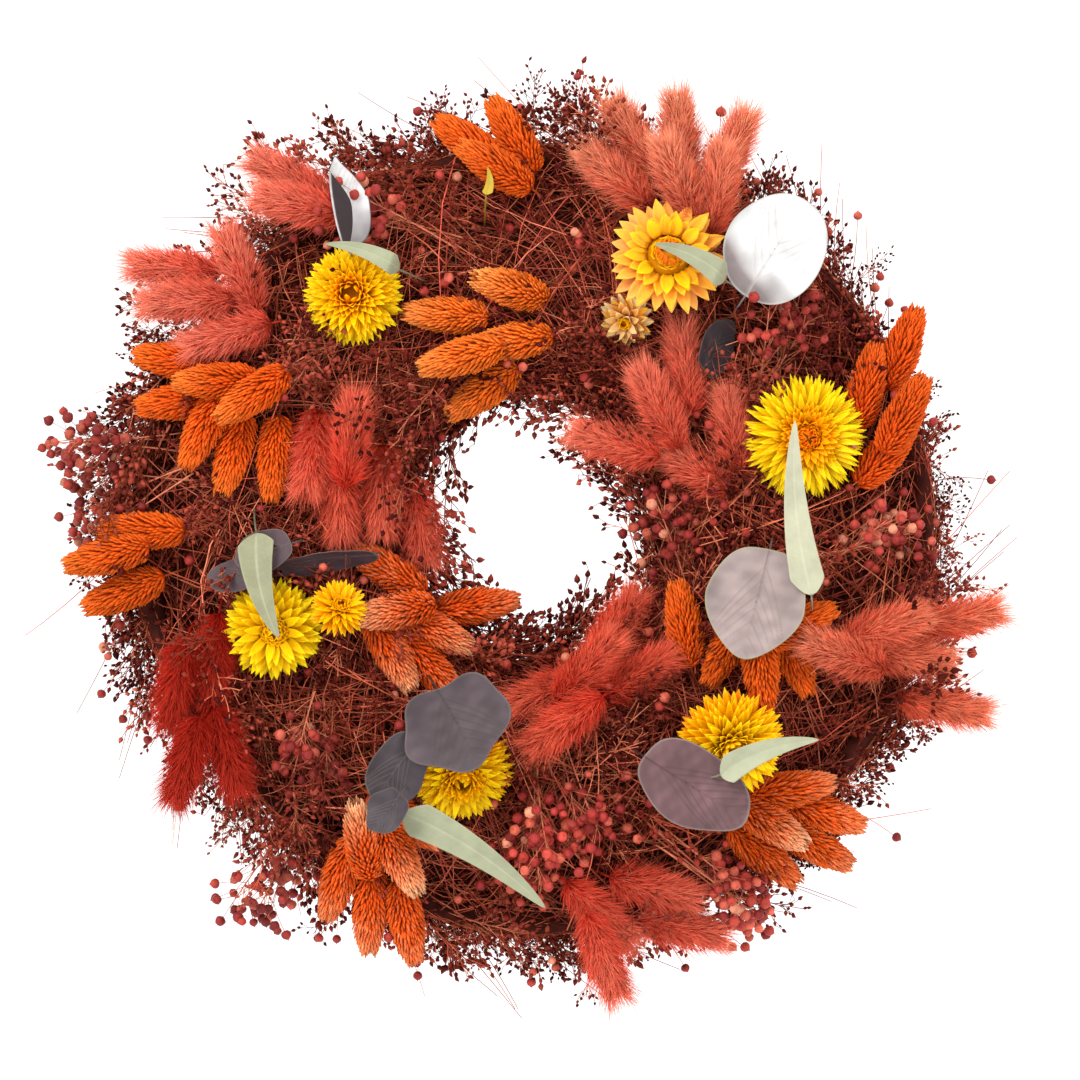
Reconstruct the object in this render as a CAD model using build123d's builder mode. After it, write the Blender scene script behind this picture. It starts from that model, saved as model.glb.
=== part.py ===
from build123d import *

import os
from math import atan2, cos, degrees, hypot, pi, radians, sin, sqrt

import numpy as np

# Dried-flower harvest wreath for a door. Millimetres.
# The wreath hangs upright: +Z is up, +X is to the right seen from the front, the front faces -Y and
# the door is on the +Y side. The origin is the point at the top of the hanging loop's inside where a
# nail or hook bears. Plants are placed from the middle of the ring: x to the right, z up.

# Wire frame: two rings in the plane Y = 0, joined by welded struts on the door side
OUTER_RING_RADIUS = 112.0
INNER_RING_RADIUS = 82.0
RING_WIRE = 3.4
STRUT_WIRE = 2.6
STRUT_COUNT = 8
STRUT_OVERHANG = 2.0
WELD_GAP = 0.05

# Hanging loop: a bail of formed wire with two eyes that turn on the outer ring
LOOP_WIRE = 1.8
LOOP_HALF_WIDTH = 12.0
LOOP_RISE = 34.0
LOOP_CORNER = 9.0
EYE_PLAY = 0.4

# Bound stems: the gathered ends of every bundle, laid along the front of the frame
STEM_WIDTH = 30.0
STEM_DEPTH = 12.0
STEM_FRONT = -14.6
BINDING_WIRE = 1.0
BINDING_POINTS = 12
TURNS_PER_POINT = 2
TURN_PITCH_ANGLE = 1.6
BINDING_PLAY = 0.3
BINDING_CORNER = 6.0

# Broom-bloom bundles: inner and outer radius of each, counterclockwise from the right
BUNDLE_RADII = {
    "broom_bundle_right": (45.0, 180.0),
    "broom_bundle_upper_right": (50.0, 178.0),
    "broom_bundle_top": (54.0, 176.0),
    "broom_bundle_upper_left": (50.0, 176.0),
    "broom_bundle_left": (44.0, 182.0),
    "broom_bundle_lower_left": (46.0, 172.0),
    "broom_bundle_bottom": (50.0, 180.0),
    "broom_bundle_lower_right": (48.0, 178.0),
}
BUNDLE_GAP = 0.6
BUNDLE_MIDDLE_Y = -11.0
BUNDLE_HALF_DEPTH = 21.0
BUNDLE_BACK_Y = 8.0
CHANNEL_HALF_WIDTH = 19.0
CHANNEL_FRONT_Y = -17.2
LOOP_POCKET_HALF_WIDTH = 17.0
LOOP_POCKET_FRONT_Y = -8.0
LOOP_POCKET_HEADROOM = 6.0

# Plants: length and radius of one head, and the stub of stem under it
CANARY_LENGTH, CANARY_RADIUS = 32.0, 5.8
BUNNY_LENGTH, BUNNY_RADIUS = 34.0, 6.8
FLAX_LENGTH, FLAX_RADIUS = 34.0, 6.5
HEAD_STUB, HEAD_STUB_RADIUS = 4.0, 0.9
LEAF_THICKNESS = 0.8
PETIOLE_LENGTH, PETIOLE_WIDTH = 5.0, 1.6
SEAT_GAP = 0.7
DEEPEST_SEAT_Y = -12.0

# Heads are (x, z, heading, lift): the head's middle, the way its tip points in degrees
# counterclockwise from +X, and how far the tip leans out of the wreath in degrees.
CANARY_GRASS = {
    "canary_grass_top": [(-28, 158, 145, 10), (-18, 148, 150, 15), (-10, 162, 122, 12)],
    "canary_grass_upper_middle": [
        (-12, 77, 188, 14), (-32, 70, 196, 10), (-23, 56, 215, 8), (-38, 88, 178, 14), (-12, 99, 165, 30),
    ],
    "canary_grass_upper_left": [
        (-145, 53, 188, 8), (-104, 28, 265, 10), (-146, 70, 172, 10), (-133, 40, 245, 10),
        (-129, 61, 182, 16), (-121, 30, 255, 14), (-114, 54, 215, 18),
    ],
    "canary_grass_left": [(-160, 2, 178, 8), (-167, -24, 202, 8), (-173, -9, 194, 12)],
    "canary_grass_lower_left_inner": [
        (-61, -13, 150, 5), (-40, -55, 312, 5), (-21, -28, 8, 5), (-56, -49, 300, 14),
        (-38, -39, 335, 12), (-58, -31, 190, 24),
    ],
    "canary_grass_bottom_left": [
        (-50, -115, 325, 4), (-79, -140, 252, 6), (-51, -157, 282, 5), (-66, -153, 268, 8),
        (-53, -130, 300, 22), (-69, -119, 100, 24),
    ],
    "canary_grass_right": [(142, 35, 50, 5), (148, 77, 70, 6), (133, 62, 78, 8), (148, 50, 62, 8)],
    "canary_grass_right_inner": [
        (59, -33, 100, 5), (104, -50, 290, 5), (106, -35, 25, 6), (76, -47, 240, 5), (90, -56, 275, 6),
    ],
    "canary_grass_bottom_right": [
        (114, -125, 330, 5), (94, -130, 320, 5), (118, -112, 342, 6), (105, -101, 10, 6),
        (96, -116, 330, 22),
    ],
}
BUNNY_TAILS = {
    "bunny_tails_upper_left": [
        (-100, 144, 152, 5), (-96, 132, 168, 5), (-147, 107, 175, 5), (-119, 108, 112, 12),
        (-141, 93, 184, 8), (-125, 79, 196, 10),
    ],
    "bunny_tails_left_inner": [
        (-78, 13, 274, 5), (-46, 3, 282, 5), (-61, 16, 270, 6), (-89, 31, 262, 22), (-73, 40, 84, 5),
    ],
    "bunny_tails_lower_left": [(-128, -52, 265, 5), (-143, -61, 258, 5), (-122, -88, 286, 5), (-139, -92, 252, 6)],
    "bunny_tails_top_right": [
        (39, 160, 122, 5), (79, 155, 66, 5), (73, 140, 82, 5), (58, 161, 96, 6), (31, 144, 140, 10),
        (56, 143, 112, 14),
    ],
    "bunny_tails_upper_right_inner": [
        (60, 69, 96, 5), (62, 28, 150, 6), (30, 37, 165, 5), (79, 43, 100, 8), (48, 53, 116, 10),
    ],
    "bunny_tails_right": [(166, -69, 350, 4), (151, -49, 352, 5), (171, -33, 12, 5), (141, -36, 20, 8), (121, -47, 160, 20)],
    "bunny_tails_bottom_inner": [(33, -36, 58, 5), (5, -63, 200, 5), (42, -55, 30, 8), (22, -52, 48, 16), (10, -76, 215, 8)],
    "bunny_tails_bottom": [(28, -153, 318, 4), (28, -170, 290, 5), (50, -142, 345, 6), (61, -158, 350, 7)],
}
# Flax sprays stand for many small round capsules on thin stems
FLAX_SPRAYS = {
    "flax_top": [(-58, 126, 160, 4), (104, 79, 60, 4)],
    "flax_left": [(-166, 34, 190, 4), (-166, 16, 196, 4), (-92, -74, 250, 4), (-104, -134, 246, 4)],
    "flax_right": [(58, -4, 100, 4), (134, -4, 20, 4)],
    "flax_bottom": [(-1, -112, 260, 4), (16, -106, 290, 4), (74, -136, 325, 4)],
}
# Strawflowers are (x, z, heading, lift, diameter): they look out along their own axis
STRAWFLOWERS = {
    "strawflower_upper_right_bud": (36, 85, 240, 60, 17),
    "strawflower_lower_left_small": (-77, -28, 60, 60, 20),
    "strawflower_upper_left": (-73, 96, 150, 82, 38),
    "strawflower_upper_right": (53, 111, 70, 74, 42),
    "strawflower_right": (108, 39, 320, 80, 43),
    "strawflower_left": (-104, -38, 280, 80, 36),
    "strawflower_bottom": (-29, -96, 280, 58, 38),
    "strawflower_lower_right": (78, -84, 300, 66, 40),
}
# Round eucalyptus leaves are (x, z, heading, lift, roll, length, width)
ROUND_LEAVES = {
    "round_leaf_upper_right": [(96, 115, 60, 3, 5, 42, 40)],
    "round_leaf_upper_left": [(-77, 133, 105, 10, 34, 34, 25)],
    "round_leaf_upper_right_slate": [(72, 77, 82, 4, 50, 26, 14)],
    "round_leaf_left_edge_on": [(-84, -10, 8, 3, 58, 48, 15)],
    "round_leaves_left_small": [(-122, -17, 215, 6, 10, 18, 12), (-105, -6, 40, 6, -20, 22, 16)],
    "round_leaves_lower_left_slate": [(-54, -91, 85, 6, 30, 34, 20), (-58, -111, 268, 8, 20, 19, 9)],
    "round_leaf_lower_left": [(-29, -73, 50, 10, -8, 42, 36)],
    "round_leaf_right": [(87, -28, 280, 8, 6, 45, 39)],
    "round_leaf_lower_right": [(64, -100, 322, 4, -6, 45, 31)],
}
# Sickle leaves are (base x, base z, tip x, tip z, width, bow, lift)
SICKLE_LEAVES = {
    "sickle_leaf_upper_left": (-52, 108, -81, 119, 8, 2.0, 4),
    "sickle_leaf_top_tip": (-18, 135, -17, 146, 4, 0.5, 4),
    "sickle_leaf_upper_right": (77, 103, 49, 118, 10, 1.5, 4),
    "sickle_leaf_right": (109, -24, 101, 45, 13, 3.0, 4),
    "sickle_leaf_left": (-115, 0, -107, -42, 14, 3.0, 4),
    "sickle_leaf_bottom": (-49, -105, 8, -141, 14, -4.0, 4),
    "sickle_leaf_lower_right": (71, -90, 109, -75, 11, -2.0, 4),
}

# Worked-out sizes
RING_R = RING_WIRE / 2
STRUT_R = STRUT_WIRE / 2
LOOP_R = LOOP_WIRE / 2
EYE_RADIUS = RING_R + EYE_PLAY + LOOP_R
HINGE_HEIGHT = sqrt(OUTER_RING_RADIUS**2 - LOOP_HALF_WIDTH**2)
CENTRE_Z = -(HINGE_HEIGHT + LOOP_RISE - LOOP_R)
RING_MIDDLE = (OUTER_RING_RADIUS + INNER_RING_RADIUS) / 2
STRUT_Y = RING_R + WELD_GAP + STRUT_R
# The ring's own plane: local x to the right, local y up, local z out of the wreath's front
FACE = Plane(origin=(0, 0, CENTRE_Z), x_dir=(1, 0, 0), z_dir=(0, -1, 0))
BUNDLE_STEP = 360 / len(BUNDLE_RADII)

os.makedirs("parts", exist_ok=True)


def write(builder, name):
    """Labels the finished piece and writes it to its own file."""
    builder.part.label = name
    export_step(builder.part, f"parts/{name}.step")


def radial_plane(angle):
    """The plane through the ring's axis at an angle: local x out from the axis, local y to the door."""
    a = radians(angle)
    return Plane(origin=(0, 0, CENTRE_Z), x_dir=(cos(a), 0, sin(a)), z_dir=(-sin(a), 0, cos(a)))


def tip_direction(heading, lift):
    """Unit vector of a head or leaf that points to heading and leans out of the wreath by lift."""
    h, up = radians(heading), radians(lift)
    return Vector(cos(h) * cos(up), -sin(up), sin(h) * cos(up))


# ---- Wire frame ----
for ring_name, ring_radius in (("outer_ring", OUTER_RING_RADIUS), ("inner_ring", INNER_RING_RADIUS)):
    with BuildPart(FACE) as ring:
        Torus(ring_radius, RING_R)
    write(ring, ring_name)

strut_length = OUTER_RING_RADIUS - INNER_RING_RADIUS + 2 * STRUT_OVERHANG
with BuildPart(FACE.offset(-STRUT_Y)) as cross_struts:
    with PolarLocations(RING_MIDDLE, STRUT_COUNT, start_angle=180 / STRUT_COUNT):
        Cylinder(STRUT_R, strut_length, rotation=(0, 90, 0))
write(cross_struts, "cross_struts")

# ---- Hanging loop, standing up behind the top bundle ----
hinge_z = CENTRE_Z + HINGE_HEIGHT
loop_top = hinge_z + LOOP_RISE
with BuildPart() as hanging_loop:
    with BuildLine(Plane.XZ) as bail:
        FilletPolyline(
            (-LOOP_HALF_WIDTH, hinge_z + EYE_RADIUS),
            (-LOOP_HALF_WIDTH, loop_top),
            (LOOP_HALF_WIDTH, loop_top),
            (LOOP_HALF_WIDTH, hinge_z + EYE_RADIUS),
            radius=LOOP_CORNER,
        )
    with BuildSketch(Plane(origin=bail.line @ 0, z_dir=bail.line % 0)):
        Circle(LOOP_R)
    sweep()
    with Locations((-LOOP_HALF_WIDTH, 0, hinge_z), (LOOP_HALF_WIDTH, 0, hinge_z)):
        Torus(EYE_RADIUS, LOOP_R, rotation=(0, 90, 0))
write(hanging_loop, "hanging_loop")

# ---- Bound stems: one gathered bunch of stems for each bundle, end to end round the frame ----
stem_arc = BUNDLE_STEP - degrees(BUNDLE_GAP / RING_MIDDLE)
with BuildPart() as bound_stems:
    for k in range(len(BUNDLE_RADII)):
        with BuildSketch(radial_plane((k - 0.5) * BUNDLE_STEP)) as bunch:
            with Locations((RING_MIDDLE, STEM_FRONT + STEM_DEPTH / 2)):
                Ellipse(STEM_WIDTH / 2, STEM_DEPTH / 2)
        revolve(axis=Axis((0, 0, CENTRE_Z), (0, -1, 0)), revolution_arc=stem_arc)
write(bound_stems, "bound_stems")

# ---- Binding wire: turns round the frame and the stems ----
turn_front = STEM_FRONT - BINDING_PLAY - BINDING_WIRE / 2
turn_back = STRUT_Y + STRUT_R + BINDING_PLAY + BINDING_WIRE / 2
turn_half = RING_MIDDLE - INNER_RING_RADIUS + RING_R + BINDING_PLAY + BINDING_WIRE / 2
with BuildPart() as turn:
    with BuildLine(radial_plane(0)) as turn_path:
        FilletPolyline(
            (RING_MIDDLE - turn_half, turn_front),
            (RING_MIDDLE + turn_half, turn_front),
            (RING_MIDDLE + turn_half, turn_back),
            (RING_MIDDLE - turn_half, turn_back),
            radius=BINDING_CORNER,
            close=True,
        )
    with BuildSketch(Plane(origin=turn_path.line @ 0, z_dir=turn_path.line % 0)):
        Circle(BINDING_WIRE / 2)
    sweep()
turn_shape = Pos(0, 0, -CENTRE_Z) * turn.part
with BuildPart() as binding_wire:
    for k in range(BINDING_POINTS):
        for t in range(TURNS_PER_POINT):
            angle = (k + 0.5) * 360 / BINDING_POINTS + (t - (TURNS_PER_POINT - 1) / 2) * TURN_PITCH_ANGLE
            add(Pos(0, 0, CENTRE_Z) * Rot(0, -angle, 0) * turn_shape)
write(binding_wire, "binding_wire")

# ---- Broom-bloom bundles: rounded sectors, open to the door round the frame ----
for k, (bundle_name, (inner, outer)) in enumerate(BUNDLE_RADII.items()):
    start = (k - 0.5) * BUNDLE_STEP + degrees(BUNDLE_GAP / 2 / RING_MIDDLE)
    arc = BUNDLE_STEP - degrees(BUNDLE_GAP / RING_MIDDLE)
    back_depth = BUNDLE_HALF_DEPTH - (BUNDLE_BACK_Y - BUNDLE_MIDDLE_Y)
    with BuildPart() as bundle:
        with BuildSketch(radial_plane(start)):
            with Locations(((inner + outer) / 2, BUNDLE_MIDDLE_Y)):
                Ellipse((outer - inner) / 2, BUNDLE_HALF_DEPTH)
            with Locations(((inner + outer) / 2, BUNDLE_BACK_Y + back_depth)):
                Rectangle(outer - inner, 2 * back_depth, mode=Mode.SUBTRACT)
            with Locations((RING_MIDDLE, CHANNEL_FRONT_Y)):
                Rectangle(
                    2 * CHANNEL_HALF_WIDTH,
                    BUNDLE_HALF_DEPTH * 2,
                    align=(Align.CENTER, Align.MIN),
                    mode=Mode.SUBTRACT,
                )
        revolve(axis=Axis((0, 0, CENTRE_Z), (0, -1, 0)), revolution_arc=arc)
        if bundle_name == "broom_bundle_top":
            pocket_height = LOOP_RISE + LOOP_POCKET_HEADROOM
            with Locations((0, LOOP_POCKET_FRONT_Y, hinge_z)):
                Box(
                    2 * LOOP_POCKET_HALF_WIDTH,
                    BUNDLE_HALF_DEPTH,
                    pocket_height,
                    align=(Align.CENTER, Align.MIN, Align.MIN),
                    mode=Mode.SUBTRACT,
                )
    write(bundle, bundle_name)


# ---- Seating: each plant rests on the bundles and on the plants laid before it ----
# A plant's shape is followed by balls, one row of (x, y, z, radius) each, from the ring's middle.
seated = [np.empty((0, 4))]


def bundle_limit(x, z, radius):
    """The furthest back (+Y) that a ball at x, z can lie in front of the broom bundles."""
    r = hypot(x, z)
    sector = round(degrees(atan2(z, x)) / BUNDLE_STEP) % len(BUNDLE_RADII)
    inner, outer = list(BUNDLE_RADII.values())[sector]
    across = np.linspace(-1, 1, 81)
    skin_r = (inner + outer) / 2 + across * (outer - inner) / 2
    skin_y = BUNDLE_MIDDLE_Y - BUNDLE_HALF_DEPTH * np.sqrt(1 - across**2)
    reach = radius + SEAT_GAP
    near = np.abs(skin_r - r) < reach
    if not near.any():
        return np.inf
    return (skin_y[near] - np.sqrt(reach**2 - (skin_r[near] - r) ** 2)).min()


def seat(balls):
    """The Y at which a plant first rests on what is behind it. Its balls are given about Y = 0."""
    limits = [DEEPEST_SEAT_Y]
    laid = seated[0]
    for x, y, z, radius in balls:
        limits.append(bundle_limit(x, z, radius) - y)
        reach = laid[:, 3] + radius + SEAT_GAP
        plan = (laid[:, 0] - x) ** 2 + (laid[:, 2] - z) ** 2
        near = plan < reach**2
        if near.any():
            limits.append((laid[near, 1] - np.sqrt(reach[near] ** 2 - plan[near])).min() - y)
    rest_y = min(limits)
    seated[0] = np.vstack([laid, np.array(balls) + [0, rest_y, 0, 0]])
    return rest_y


def axis_plane(x, rest_y, z, heading, lift):
    """A plane whose local y runs along a plant's axis, with its origin at the plant's middle."""
    side = Vector(-sin(radians(heading)), 0, cos(radians(heading)))
    return Plane(origin=(x, rest_y, CENTRE_Z + z), x_dir=side, z_dir=side.cross(tip_direction(heading, lift)))


def head_plane(x, z, heading, lift, length, radius):
    """Seats one egg-shaped grass head and returns its axis plane."""
    axis = tip_direction(heading, lift)
    balls = []
    for t in np.linspace(-0.5 * length - HEAD_STUB, 0.5 * length, 17):
        along = t / length + 0.5
        swell = max(HEAD_STUB_RADIUS, radius * sqrt(max(0.0, 1 - (2 * along - 0.9) ** 2)))
        balls.append((x + axis.X * t, axis.Y * t, z + axis.Z * t, swell))
    return axis_plane(x, seat(balls), z, heading, lift)


def write_clusters(clusters, length, radius):
    """Writes each cluster of heads: egg-shaped, each with a stub of stem."""
    for name, heads in clusters.items():
        with BuildPart() as cluster:
            for x, z, heading, lift in heads:
                plane = head_plane(x, z, heading, lift, length, radius)
                with BuildSketch(plane):
                    with BuildLine():
                        Line((0, -length / 2 - HEAD_STUB), (HEAD_STUB_RADIUS, -length / 2 - HEAD_STUB))
                        Line((HEAD_STUB_RADIUS, -length / 2 - HEAD_STUB), (HEAD_STUB_RADIUS, -length / 2))
                        Spline(
                            (HEAD_STUB_RADIUS, -length / 2),
                            (0.80 * radius, -0.30 * length),
                            (0.97 * radius, -0.06 * length),
                            (0.70 * radius, 0.27 * length),
                            (0, length / 2),
                        )
                        Line((0, length / 2), (0, -length / 2 - HEAD_STUB))
                    make_face()
                revolve(axis=Axis(plane.origin, plane.y_dir))
        write(cluster, name)


write_clusters(FLAX_SPRAYS, FLAX_LENGTH, FLAX_RADIUS)
write_clusters(CANARY_GRASS, CANARY_LENGTH, CANARY_RADIUS)
write_clusters(BUNNY_TAILS, BUNNY_LENGTH, BUNNY_RADIUS)


# ---- Strawflowers: a cup of bracts with a domed top and a stub of stem ----
for name, (x, z, heading, lift, diameter) in STRAWFLOWERS.items():
    radius = diameter / 2
    height = 0.55 * diameter
    plane = axis_plane(x, 0, z, heading, lift)
    ball = 0.42 * height
    balls = [(x, 0, z, 0.5 * height)]
    spots = [(0, -0.5 * height, 0, 2 * HEAD_STUB_RADIUS), (0, -0.36 * height, 0, 0.3 * radius)]
    for ring_radius, count in ((radius - ball, 16), (0.5 * radius, 8)):
        for k in range(count):
            turn_angle = 2 * pi * k / count
            spots.append((ring_radius * cos(turn_angle), 0, ring_radius * sin(turn_angle), ball))
    for across, along, up, ball_radius in spots:
        spot = plane.from_local_coords((across, along, up))
        balls.append((spot.X, spot.Y, spot.Z - CENTRE_Z, ball_radius))
    plane = axis_plane(x, seat(balls), z, heading, lift)
    with BuildPart() as flower:
        with BuildSketch(plane):
            with BuildLine():
                Line((0, -height / 2 - HEAD_STUB / 2), (2 * HEAD_STUB_RADIUS, -height / 2 - HEAD_STUB / 2))
                Line((2 * HEAD_STUB_RADIUS, -height / 2 - HEAD_STUB / 2), (2 * HEAD_STUB_RADIUS, -0.42 * height))
                Line((2 * HEAD_STUB_RADIUS, -0.42 * height), (0.55 * radius, -0.36 * height))
                Spline(
                    (0.55 * radius, -0.36 * height),
                    (radius, 0.02 * height),
                    (0.62 * radius, 0.38 * height),
                    (0, 0.46 * height),
                )
                Line((0, 0.46 * height), (0, -height / 2 - HEAD_STUB / 2))
            make_face()
        revolve(axis=Axis(plane.origin, plane.y_dir))
    write(flower, name)


# ---- Leaves: thin blades laid over the heads ----
def blade_plane(x, rest_y, z, heading, lift, roll):
    """A plane with local x to the leaf's tip and local z out of its upper side."""
    tip = tip_direction(heading, lift)
    side = Vector(-sin(radians(heading)), 0, cos(radians(heading))).rotate(Axis((0, 0, 0), tip), roll)
    return Plane(origin=(x, rest_y, CENTRE_Z + z), x_dir=tip, z_dir=tip.cross(side))


def blade_balls(plane, outline, spacing=3.2, ball=2.0):
    """Balls over a blade: outline gives its (low, high) edge at each length from base to tip."""
    balls = []
    for along, low, high in outline:
        count = max(2, int((high - low) / spacing) + 1)
        for across in np.linspace(low, high, count):
            spot = plane.from_local_coords((along, across, LEAF_THICKNESS / 2))
            balls.append((spot.X, spot.Y, spot.Z - CENTRE_Z, ball))
    return balls


for name, leaves in ROUND_LEAVES.items():
    with BuildPart() as round_leaf:
        for x, z, heading, lift, roll, length, width in leaves:
            outline = []
            for along in np.linspace(-length / 2, length / 2, int(length / 3)):
                half = width / 2 * sqrt(max(0.0, 1 - (2 * along / length) ** 2))
                outline.append((along, -half, half))
            outline += [(-length / 2 - PETIOLE_LENGTH + 1, -0.5, 0.5)]
            flat = blade_plane(x, 0, z, heading, lift, roll)
            rest_y = seat(blade_balls(flat, outline))
            with BuildSketch(blade_plane(x, rest_y, z, heading, lift, roll)):
                Ellipse(length / 2, width / 2)
                with Locations((-length / 2 + 1, 0)):
                    Rectangle(PETIOLE_LENGTH + 1, PETIOLE_WIDTH, align=(Align.MAX, Align.CENTER))
            extrude(amount=LEAF_THICKNESS)
    write(round_leaf, name)

for name, (base_x, base_z, tip_x, tip_z, width, bow, lift) in SICKLE_LEAVES.items():
    length = hypot(tip_x - base_x, tip_z - base_z)
    heading = degrees(atan2(tip_z - base_z, tip_x - base_x))
    x, z = (base_x + tip_x) / 2, (base_z + tip_z) / 2
    high, low = bow + width / 2, bow - width / 2
    outline = []
    for along in np.linspace(-length / 2, length / 2, max(4, int(length / 3))):
        bulge = 1 - (2 * along / length) ** 2
        outline.append((along, low * bulge, high * bulge))
    flat = blade_plane(x, 0, z, heading, lift, 0)
    rest_y = seat(blade_balls(flat, outline))
    with BuildPart() as sickle_leaf:
        with BuildSketch(blade_plane(x, rest_y, z, heading, lift, 0)):
            with BuildLine():
                ThreePointArc((-length / 2, 0), (0, high), (length / 2, 0))
                ThreePointArc((length / 2, 0), (0, low), (-length / 2, 0))
            make_face()
        extrude(amount=LEAF_THICKNESS)
    write(sickle_leaf, name)
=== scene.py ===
import math

import bpy
import numpy as np
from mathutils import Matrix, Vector


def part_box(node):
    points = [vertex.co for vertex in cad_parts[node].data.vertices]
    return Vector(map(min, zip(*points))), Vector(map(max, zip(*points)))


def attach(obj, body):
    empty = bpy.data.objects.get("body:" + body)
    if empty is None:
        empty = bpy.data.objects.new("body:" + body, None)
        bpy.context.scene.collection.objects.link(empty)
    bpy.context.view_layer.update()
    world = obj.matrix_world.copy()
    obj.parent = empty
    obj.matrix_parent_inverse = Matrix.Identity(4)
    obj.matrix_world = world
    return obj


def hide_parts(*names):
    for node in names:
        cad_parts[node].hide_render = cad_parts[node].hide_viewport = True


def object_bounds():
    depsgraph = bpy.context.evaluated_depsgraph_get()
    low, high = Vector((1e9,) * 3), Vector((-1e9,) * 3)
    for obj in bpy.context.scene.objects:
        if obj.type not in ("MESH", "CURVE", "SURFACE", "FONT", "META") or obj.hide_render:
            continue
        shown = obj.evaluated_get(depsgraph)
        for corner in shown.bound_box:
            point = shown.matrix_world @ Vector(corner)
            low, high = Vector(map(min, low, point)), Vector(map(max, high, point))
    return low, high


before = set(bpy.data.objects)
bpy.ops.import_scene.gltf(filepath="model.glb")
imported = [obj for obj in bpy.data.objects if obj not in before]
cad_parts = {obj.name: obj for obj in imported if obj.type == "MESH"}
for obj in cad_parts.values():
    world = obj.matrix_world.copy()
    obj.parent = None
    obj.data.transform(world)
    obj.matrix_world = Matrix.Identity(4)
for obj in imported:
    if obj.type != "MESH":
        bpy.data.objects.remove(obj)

# Looks of the harvest wreath, in metres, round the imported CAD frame.
CAD_BOUNDS = [list(corner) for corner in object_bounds()]
rng = np.random.default_rng(24)
MM = 0.001
GOLDEN_ANGLE = math.pi * (3 - math.sqrt(5))
UP = np.array([0, 0, 1.0])

ring_low, ring_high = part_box("outer_ring")
CENTRE = np.array((ring_low + ring_high) / 2)
DOOR_Y = CAD_BOUNDS[1][1]
DOOR_SOFT = 6 * MM


# ---------------------------------------------------------------- small geometry helpers
def unit(v):
    """Rows of v, each made one long."""
    return v / np.maximum(np.linalg.norm(v, axis=-1, keepdims=True), 1e-12)


def mix(a, b, share):
    """What lies share of the way from a to b."""
    return np.asarray(a) * (1 - share) + np.asarray(b) * share


def picked(tints, count, low, high):
    """Tints (count, 3) picked at random from rows of tints, each at a random strength."""
    return tints[rng.integers(0, len(tints), count)] * rng.uniform(low, high, count)[:, None]


def rim_ways(turn):
    """Unit vectors square to +Z, at turns about it."""
    return np.stack([np.cos(turn), np.sin(turn), 0 * turn], -1)


def tilted_ways(turn, tilt):
    """Unit vectors leant by tilt off +Z, at turns about it."""
    return np.stack([np.cos(turn) * np.sin(tilt), np.sin(turn) * np.sin(tilt), np.cos(tilt)], -1)


def along_frames(directions, roll=None):
    """Rotation matrices (K, 3, 3) that take +Z to each direction, turned by roll about it."""
    z = unit(directions)
    helper = np.where(np.abs(z[:, 2:3]) < 0.9, [[0.0, 0.0, 1.0]], [[1.0, 0.0, 0.0]])
    x = unit(np.cross(helper, z))
    y = np.cross(z, x)
    if roll is not None:
        c, s = np.cos(roll)[:, None], np.sin(roll)[:, None]
        x, y = x * c + y * s, y * c - x * s
    return np.stack([x, y, z], axis=2)


def press_to_door(points):
    """Points that would go through the door lie softly against it instead."""
    over = np.maximum(points[:, 1] - (DOOR_Y - DOOR_SOFT), 0)
    pressed = DOOR_Y - DOOR_SOFT + DOOR_SOFT * np.tanh(over / DOOR_SOFT)
    return np.stack([points[:, 0], np.where(over > 0, pressed, points[:, 1]), points[:, 2]], 1)


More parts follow.
